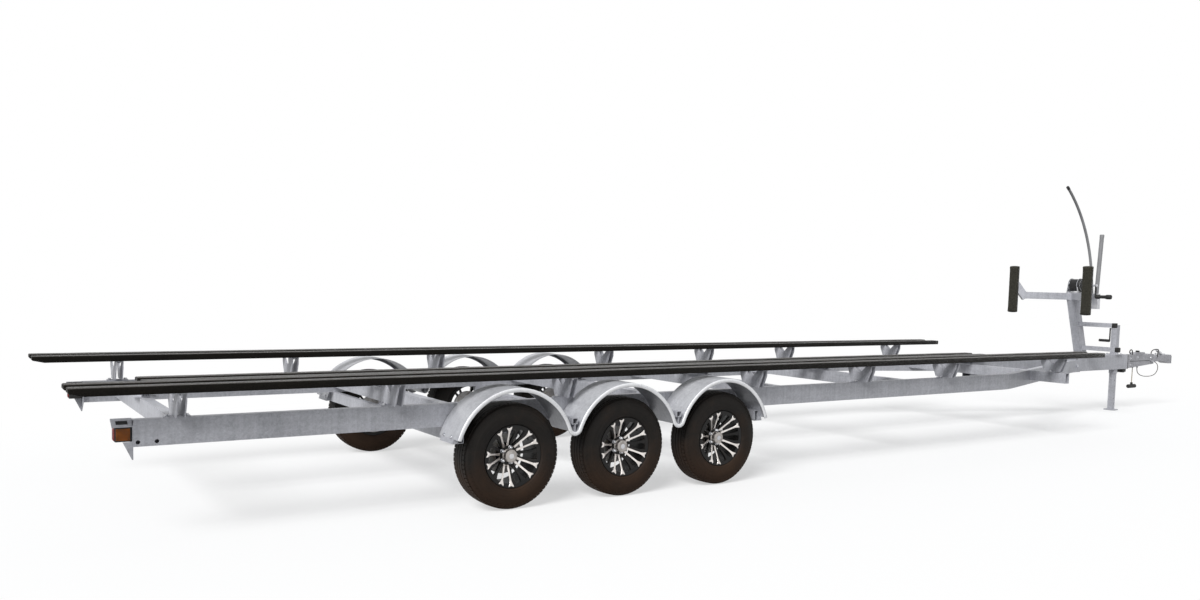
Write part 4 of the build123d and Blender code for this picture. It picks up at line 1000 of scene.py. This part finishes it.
def lamp_lens(name, low, high, axis, sign):
    """Lens moulding: a block with rounded edges and flutes pressed into its outer face."""
    piece = boxed(name, low, high, 0.003, 3)
    edit(piece)
    choose(piece, "FACE", lambda f: f.normal[axis] * sign > 0.95 and f.calc_area() > 5e-4)
    bpy.ops.mesh.inset(thickness=0.004)
    push(-0.0012)
    bpy.ops.mesh.subdivide(number_cuts=9)
    choose(piece, "FACE", lambda f: f.normal[axis] * sign > 0.95 and f.calc_area() < 2e-4
           and int((f.calc_center_median()[2] - low[2]) / (high[2] - low[2]) * LENS_BANDS) % 2 == 0)
    push(0.0009)
    return close(piece, 30)


class TRAILER_OT_lamps(bpy.types.Operator):
    """Build the tail lamps: black housings with amber side and red rear lenses"""

    bl_idname = "trailer.lamps"
    bl_label = "Build the tail lamps"

    depth = 0.064
    sheet = 0.003
    border = 0.007

    def execute(self, context):
        low, high = corners("tail_lamps")
        (_, _, tip), (_, _, hood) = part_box("lamp_brackets")
        roof = hood - 0.0055
        bottom, top = low.z + self.border, high.z - self.border
        for side, sign in SIDES:
            outer, inner = sign * high.y, sign * (high.y - self.depth)
            brow = outer - sign * self.sheet
            shell = boxed("shell", (low.x + 0.004, outer - sign * 0.004, low.z), (high.x, inner, high.z),
                          0.006, 3)
            base = boxed("base", (low.x + 0.006, brow, high.z - 0.004), (high.x, outer - sign * 0.057, roof))
            edit(base)
            choose(base, "VERT", lambda v: v.co.z > high.z and abs(v.co.y - brow) < 0.001)
            bpy.ops.transform.translate(value=(0, 0, high.z + 0.0003 - roof))
            shell = joined(f"lamp_shell_{side}", [shell, close(base, 30)])
            settle(shell, "rubber", "frame", "tail_lamps", slot="lamp_lens")
            point = boxed(f"lamp_point_{side}", (high.x - 0.046, outer, tip), (high.x, brow, low.z - 0.0005))
            edit(point)
            choose(point, "VERT", lambda v: v.co.x < high.x - 0.04 and v.co.z < low.z - 0.01)
            bpy.ops.transform.translate(value=(0.044, 0, 0))
            choose(point, "EDGE", lambda e: len(e.link_faces) == 2 and e.calc_length() > 0.02)
            bpy.ops.mesh.bevel(offset=0.0006, segments=1, affect="EDGES")
            settle(close(point, 30), "galvanised")
            amber = lamp_lens(f"lamp_amber_{side}", (low.x + 0.01, outer, bottom),
                              (high.x - 0.01, outer - sign * 0.007, top), 1, sign)
            settle(amber, "amber")
            red = lamp_lens(f"lamp_red_{side}", (low.x, outer - sign * 0.01, bottom),
                            (low.x + 0.007, inner + sign * 0.006, top), 0, -1)
            settle(red, "red")
        return {"FINISHED"}


def plug_cap(name, middle, size, along, thick):
    """Square end plug: a rounded flange with a shallow raised face."""
    middle, size, way = Vector(middle), Vector(size), Vector(along)
    piece = boxed(name, middle - size / 2, middle + size / 2, 0.004, 3)
    edit(piece)
    choose(piece, "FACE", lambda f: f.normal.dot(way) > 0.95)
    bpy.ops.mesh.inset(thickness=0.007)
    push(thick)
    bpy.ops.mesh.inset(thickness=0.004)
    push(-thick / 2)
    return close(piece, 35)


class TRAILER_OT_caps(bpy.types.Operator):
    """Plug the open ends of the steps and poles and fit the stop under the tongue"""

    bl_idname = "trailer.caps"
    bl_label = "Plug the open ends"

    step_ends = ((4.3295, 0.7945), (4.2321, 1.0775))

    def execute(self, context):
        for k, (x, z) in enumerate(self.step_ends):
            cap = plug_cap("cap", (x, -0.474, z), (0.056, 0.01, 0.056), (0, -1, 0), 0.004)
            half = 0.0275
            collar = boxed("collar", (x - half, -0.4705, z - half), (x + half, -0.44, z + half), 0.003)
            settle(joined(f"step_cap_{k + 1}", [cap, collar]), "rubber")
        settle(plug_cap("tongue_stop", (5.312, 0, 0.493), (0.07, 0.088, 0.036), DOWN, 0.005), "rubber")
        lean, bend = math.radians(2), math.radians(53)
        upright, bent = Vector((0, -math.sin(lean), math.cos(lean))), (-math.sin(bend), 0, math.cos(bend))
        for name, radius, spot, way, finish in (
                ("straight", 0.023, Vector((4.305, -0.182, 1.4395)) + upright * 0.685, upright, "pole"),
                ("curved", 0.015, (3.6575, -0.13, 2.6364), bent, "rubber")):
            tip = ((0, 0.0002), (radius, 0.0002), (radius + 0.0004, -0.032), (radius + 0.0014, -0.034),
                   (radius + 0.0014, 0.002), (radius - 0.002, 0.0055), (radius * 0.5, 0.0072), (0, 0.0076))
            lathed(f"pole_tip_{name}", tip, 28, [aimed(spot, way)], finish)
        return {"FINISHED"}


def ribs(count, pitch, profile):
    """Profile of a grip's ribs: one rib repeated along it."""
    return [(radius, along + pitch * k) for k in range(count) for radius, along in profile]


# Profiles of the winch's grip and side cover and of the jack's grip: radius and distance along
WINCH_GRIP = (
    (0.0172, 0), (0.025, 0.004), (0.0258, 0.04), (0.02, 0.052),
    *ribs(5, 0.012, ((0.0192, 0.056), (0.0192, 0.062), (0.0182, 0.064), (0.0182, 0.066))),
    (0.025, 0.122), (0.0268, 0.135), (0.0268, 0.172), (0.024, 0.1795), (0.012, 0.1825), (0, 0.183),
)
WINCH_COVER = (
    (0.019, 0), (0.077, 0), (0.077, 0.01), (0.074, 0.015), (0.066, 0.0175), (0.064, 0.016),
    (0.042, 0.016), (0.04, 0.019), (0.024, 0.0205), (0.02, 0.0205), (0.019, 0.019), (0.019, 0),
)
# Bright zinc ring on the black side cover: a painted highlight standing in for the cover's curved shine
COVER_HIGHLIGHT_RING = ((0.0655, 0.0172), (0.07, 0.0172), (0.07, 0.0186), (0.0655, 0.0186), (0.0655, 0.0172))
JACK_GRIP = (
    (0.015, 0),
    *ribs(6, 0.02, ((0.0172, 0.005), (0.0172, 0.017), (0.0158, 0.019), (0.0158, 0.023))),
    (0.0175, 0.1285), (0.015, 0.1325), (0, 0.1335),
)


class TRAILER_OT_winch(bpy.types.Operator):
    """Wind the strap on the drum, fit the side cover with a bright ring on it as a painted highlight, and the
    crank's grip and nuts
    """

    bl_idname = "trailer.winch"
    bl_label = "Dress the winch"

    strap_half = 0.0475
    strap_radius = 0.0714

    def execute(self, context):
        shaft = Vector(next(joint["pos_m"] for joint in frame["joints"] if joint["child"] == "winch_reel"))
        right, edge, radius = (0, -1, 0), self.strap_half, self.strap_radius
        rng = random.Random(5)
        layers = [(0.0682, -edge), (0.0706, -edge + rng.uniform(0, 0.0012)), (radius, -edge + 0.003)]
        layers += [(radius + rng.uniform(-0.0003, 0.0003), -edge + 0.003 + 0.0104 * k) for k in range(1, 9)]
        layers += [(0.0706, edge - rng.uniform(0, 0.0012)), (0.0682, edge)]
        lathed("winch_strap_roll", layers, 56, [Matrix.Translation(shaft)], "strap", "winch_reel")
        grip = [aimed(shaft + Vector((0, -0.2482, -0.13)), right)]
        lathed("winch_grip", WINCH_GRIP, 24, grip, "rubber", "winch_reel")
        ends = [aimed(shaft + Vector((0, -0.248, 0)), right, 0, 1.2),
                aimed(shaft + Vector((0, 0.072, 0)), (0, 1, 0), 0.3, 1.2)]
        settle(copied(bolt_model(), "winch_nuts", ends), "zinc", "winch_reel")
        cheek = [aimed(shaft + Vector((0, -0.0662, 0)), right)]
        lathed("winch_cover", WINCH_COVER, 48, cheek, "rubber")
        # Bright ring on the cover: painted highlight
        lathed("winch_cover_highlight_ring", COVER_HIGHLIGHT_RING, 48, cheek, "zinc")
        return {"FINISHED"}


class TRAILER_OT_jack(bpy.types.Operator):
    """Fit the jack's grip and cap, and put black plugs in its leg's pin holes as painted shade"""

    bl_idname = "trailer.jack"
    bl_label = "Dress the jack"

    hole_shade_heights = [0.072 + 0.075 * k for k in range(5)]
    hole_shade_plug = ((0, 0.0245), (0.0079, 0.0245), (0.0079, -0.0245), (0, -0.0245))
    grip_reach = 0.067

    def execute(self, context):
        x, top = middle_of("jack_tube").x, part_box("jack_tube")[1][2]
        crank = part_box("jack_crank")[0][2] + 0.015
        lathed("jack_grip", JACK_GRIP, 20, [aimed((x, self.grip_reach, crank), (0, 1, 0))], "rubber")
        settle(plug_cap("jack_cap", (x, 0, top + 0.003), (0.076, 0.076, 0.006), UP, 0.006), "zinc")
        # Black plugs in the leg's pin holes: painted shade standing in for the dark inside of the hollow leg
        lathed("jack_leg_hole_shades", self.hole_shade_plug, 20, [Matrix.Translation((x, 0, z)) for z in self.hole_shade_heights],
               "rubber", "jack_leg")
        return {"FINISHED"}


# Profiles of the brake fluid's cap and of the latch pin: radius and distance along
FLUID_CAP = ((0, 0), (0.026, 0), (0.026, 0.004), (0.0225, 0.006), (0.0225, 0.018), (0.02, 0.0205),
             (0.008, 0.0205), (0.0072, 0.018), (0, 0.018))
LATCH_PIN = ((0, -0.034), (0.0052, -0.034), (0.0052, 0.026), (0.0095, 0.0262), (0.0095, 0.034),
             (0.007, 0.0362), (0, 0.0365))
# Bend of the chain hook on the actuator, in metres
HOOK_ROUTE = [(5.5, -0.034, 0.684), (5.5, -0.034, 0.712), (5.486, -0.036, 0.742), (5.452, -0.038, 0.752),
              (5.424, -0.038, 0.736), (5.424, -0.038, 0.71), (5.446, -0.038, 0.698)]


class TRAILER_OT_hitch(bpy.types.Operator):
    """Fit the brake fluid cap, latch pin and ring, hook and bail to the hitch, and lay dark bars as painted
    shadow in its gaps
    """

    bl_idname = "trailer.hitch"
    bl_label = "Dress the hitch"

    def execute(self, context):
        lathed("fluid_cap", FLUID_CAP, 28, [aimed((5.69, 0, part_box("actuator")[1][2]), UP)], "rubber")
        low = corners("coupler_latch")[0]
        pin = turned("pin", LATCH_PIN, 16)
        deselect()
        bpy.ops.mesh.primitive_torus_add(major_radius=0.017, minor_radius=0.002, major_segments=28,
                                         minor_segments=8)
        ring = context.active_object
        ring.data.transform(Matrix.Translation((0, -0.031, 0.0155)) @ Matrix.Rotation(1.25, 4, "Y"))
        place = aimed((low.x + 0.03, 0, low.z + 0.014), (0, 1, 0))
        settle(copied(joined("pin", [pin, ring]), "latch_pin", [place]), "zinc")
        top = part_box("coupler")[1][2]
        half = [(6.12, 0.04, 0.64), (6.112, 0.044, top + 0.02), (6.14, 0.04, top + 0.058),
                (6.176, 0.02, top + 0.072)]
        bail = [(x, -y, z) for x, y, z in half] + half[::-1]
        wires = [bent_wire("chain_hook", HOOK_ROUTE, 0.013), bent_wire("latch_bail", bail, 0.012)]
        settle(joined("hitch_wires", wires), "dark")
        # Thin dark bars across the tongue's joints and along the actuator's sides: painted shadow in the gaps
        # between parts
        gap_shades = [((x, -0.0515, 0.51), (x + 0.012, 0.0515, 0.693)) for x in (4.2, 5.362)]
        gap_shades += [((5.42, y - 0.002, 0.601), (5.985, y + 0.002, 0.608)) for y in (-0.047, 0.047)]
        bars = [boxed("gap_shade_bar", start, end, 0.001, 1) for start, end in gap_shades]
        settle(joined("hitch_gap_shades", bars), "dark")
        return {"FINISHED"}


class TRAILER_OT_stage(bpy.types.Operator):
    """Set up the pale floor, soft light and the camera"""

    bl_idname = "trailer.stage"
    bl_label = "Set the stage"

    def execute(self, context):
        look = context.scene.trailer_look
        scene = context.scene
        scene.view_settings.view_transform = "Standard"
        deselect()
        bpy.ops.mesh.primitive_plane_add(size=look.floor_size, location=(0, 0, -0.001))
        floor = context.active_object
        floor.name = "studio_floor"
        floor.data.materials.append(floor_finish())
        sky(scene, look.sky_level)
        bpy.ops.object.light_add(type="SUN", location=(-12, -9, 14))
        lamp = context.active_object
        lamp.name = "key_lamp"
        lamp.data.energy = look.key_strength
        lamp.data.angle = math.radians(28)
        lamp.rotation_euler = Vector((-0.66, -0.36, 0.66)).to_track_quat("Z", "Y").to_euler()
        camera_at(context, look.lens_length)
        return {"FINISHED"}


def camera_at(context, lens):
    """Camera behind and to the right of the trailer, low, with a slight roll."""
    yaw, pitch, roll = math.radians(34.394), math.radians(3.962), math.radians(1.549)
    turn = (Matrix.Rotation(-yaw, 4, "Z") @ Matrix.Rotation(math.pi / 2 - pitch, 4, "X")
            @ Matrix.Rotation(roll, 4, "Z"))
    deselect()
    bpy.ops.object.camera_add()
    camera = context.active_object
    camera.name = "photo_camera"
    camera.matrix_world = Matrix.Translation((-7.041, -6.438, 1.414)) @ turn
    camera.data.sensor_width = 36
    camera.data.lens = lens
    camera.data.shift_x = 0.0004
    camera.data.shift_y = 0.042
    camera.data.clip_end = 300
    context.scene.camera = camera


def seen_rays(tree):
    """1 for rays from the camera, a glossy surface or clear plastic, 0 for light."""
    camera, glossy, clear = (tree.node("ShaderNodeLightPath", output=f"Is {kind} Ray")
                             for kind in ("Camera", "Glossy", "Transmission"))
    return camera.either(glossy).either(clear)


def sky(scene, level):
    """White world for the eye and for reflections, and a plain level of light."""
    scene.world = scene.world or bpy.data.worlds.new("studio")
    scene.world.use_nodes = True
    world = Tree(scene.world.node_tree)
    world.tree.nodes.clear()
    lit = world.node("ShaderNodeBackground", {}, {0: (0.94, 0.97, 1), 1: level})
    shown = world.node("ShaderNodeBackground", {}, {0: (1, 1, 1), 1: 1})
    blend = world.node("ShaderNodeMixShader", {}, {0: seen_rays(world), 1: lit, 2: shown})
    world.feed(world.tree.nodes.new("ShaderNodeOutputWorld").inputs[0], blend)


def floor_finish():
    """Matt white floor that keeps the shadow near the trailer and turns to plain white further out."""
    f = Finish("studio_floor", Roughness=1, Specular_IOR_Level=0)
    seen = seen_rays(f)
    f.set(Base_Color=f.node("ShaderNodeMapRange", {}, {0: seen, 3: 0.28, 4: 0.98}))
    reach = f.node("ShaderNodeVectorMath", {"operation": "LENGTH"}, {0: f.place((0.4, 1, 1))}, output="Value")
    far = f.node("ShaderNodeMapRange", {}, {0: reach, 1: 1.6, 2: 4.5, 3: 0.5})
    white = f.node("ShaderNodeEmission")
    blend = f.node("ShaderNodeMixShader", {}, {0: far * seen, 1: Socket(f, f.shader.outputs[0]), 2: white})
    f.feed(f.tree.nodes["Material Output"].inputs[0], blend)
    return f.material


class TRAILER_PT_panel(bpy.types.Panel):
    """Sizes, light levels and the steps that build the trailer's look"""

    bl_idname = "TRAILER_PT_panel"
    bl_label = "Boat trailer"
    bl_space_type = "VIEW_3D"
    bl_region_type = "UI"
    bl_category = "Trailer"

    def draw(self, context):
        for operator in STEPS:
            self.layout.operator(operator.bl_idname)
        look = context.scene.trailer_look
        for name in look.bl_rna.properties.keys():
            if name not in ("name", "rna_type"):
                self.layout.prop(look, name)


STEPS = (TRAILER_OT_finishes, TRAILER_OT_cords, TRAILER_OT_tyres, TRAILER_OT_wheel_faces,
         TRAILER_OT_wheel_trim, TRAILER_OT_bunks, TRAILER_OT_bow_pads, TRAILER_OT_fender_trim,
         TRAILER_OT_bolts, TRAILER_OT_lamps, TRAILER_OT_caps, TRAILER_OT_winch, TRAILER_OT_jack,
         TRAILER_OT_hitch, TRAILER_OT_stage)
CLASSES = (TrailerLook, *STEPS, TRAILER_PT_panel)


def register():
    for cls in CLASSES:
        bpy.utils.register_class(cls)
    bpy.types.Scene.trailer_look = PointerProperty(type=TrailerLook)


def unregister():
    del bpy.types.Scene.trailer_look
    for cls in reversed(CLASSES):
        bpy.utils.unregister_class(cls)


def main():
    """Build the whole look in order."""
    register()
    for operator in STEPS:
        group, step = operator.bl_idname.split(".")
        getattr(getattr(bpy.ops, group), step)()


if __name__ == "__main__":
    main()
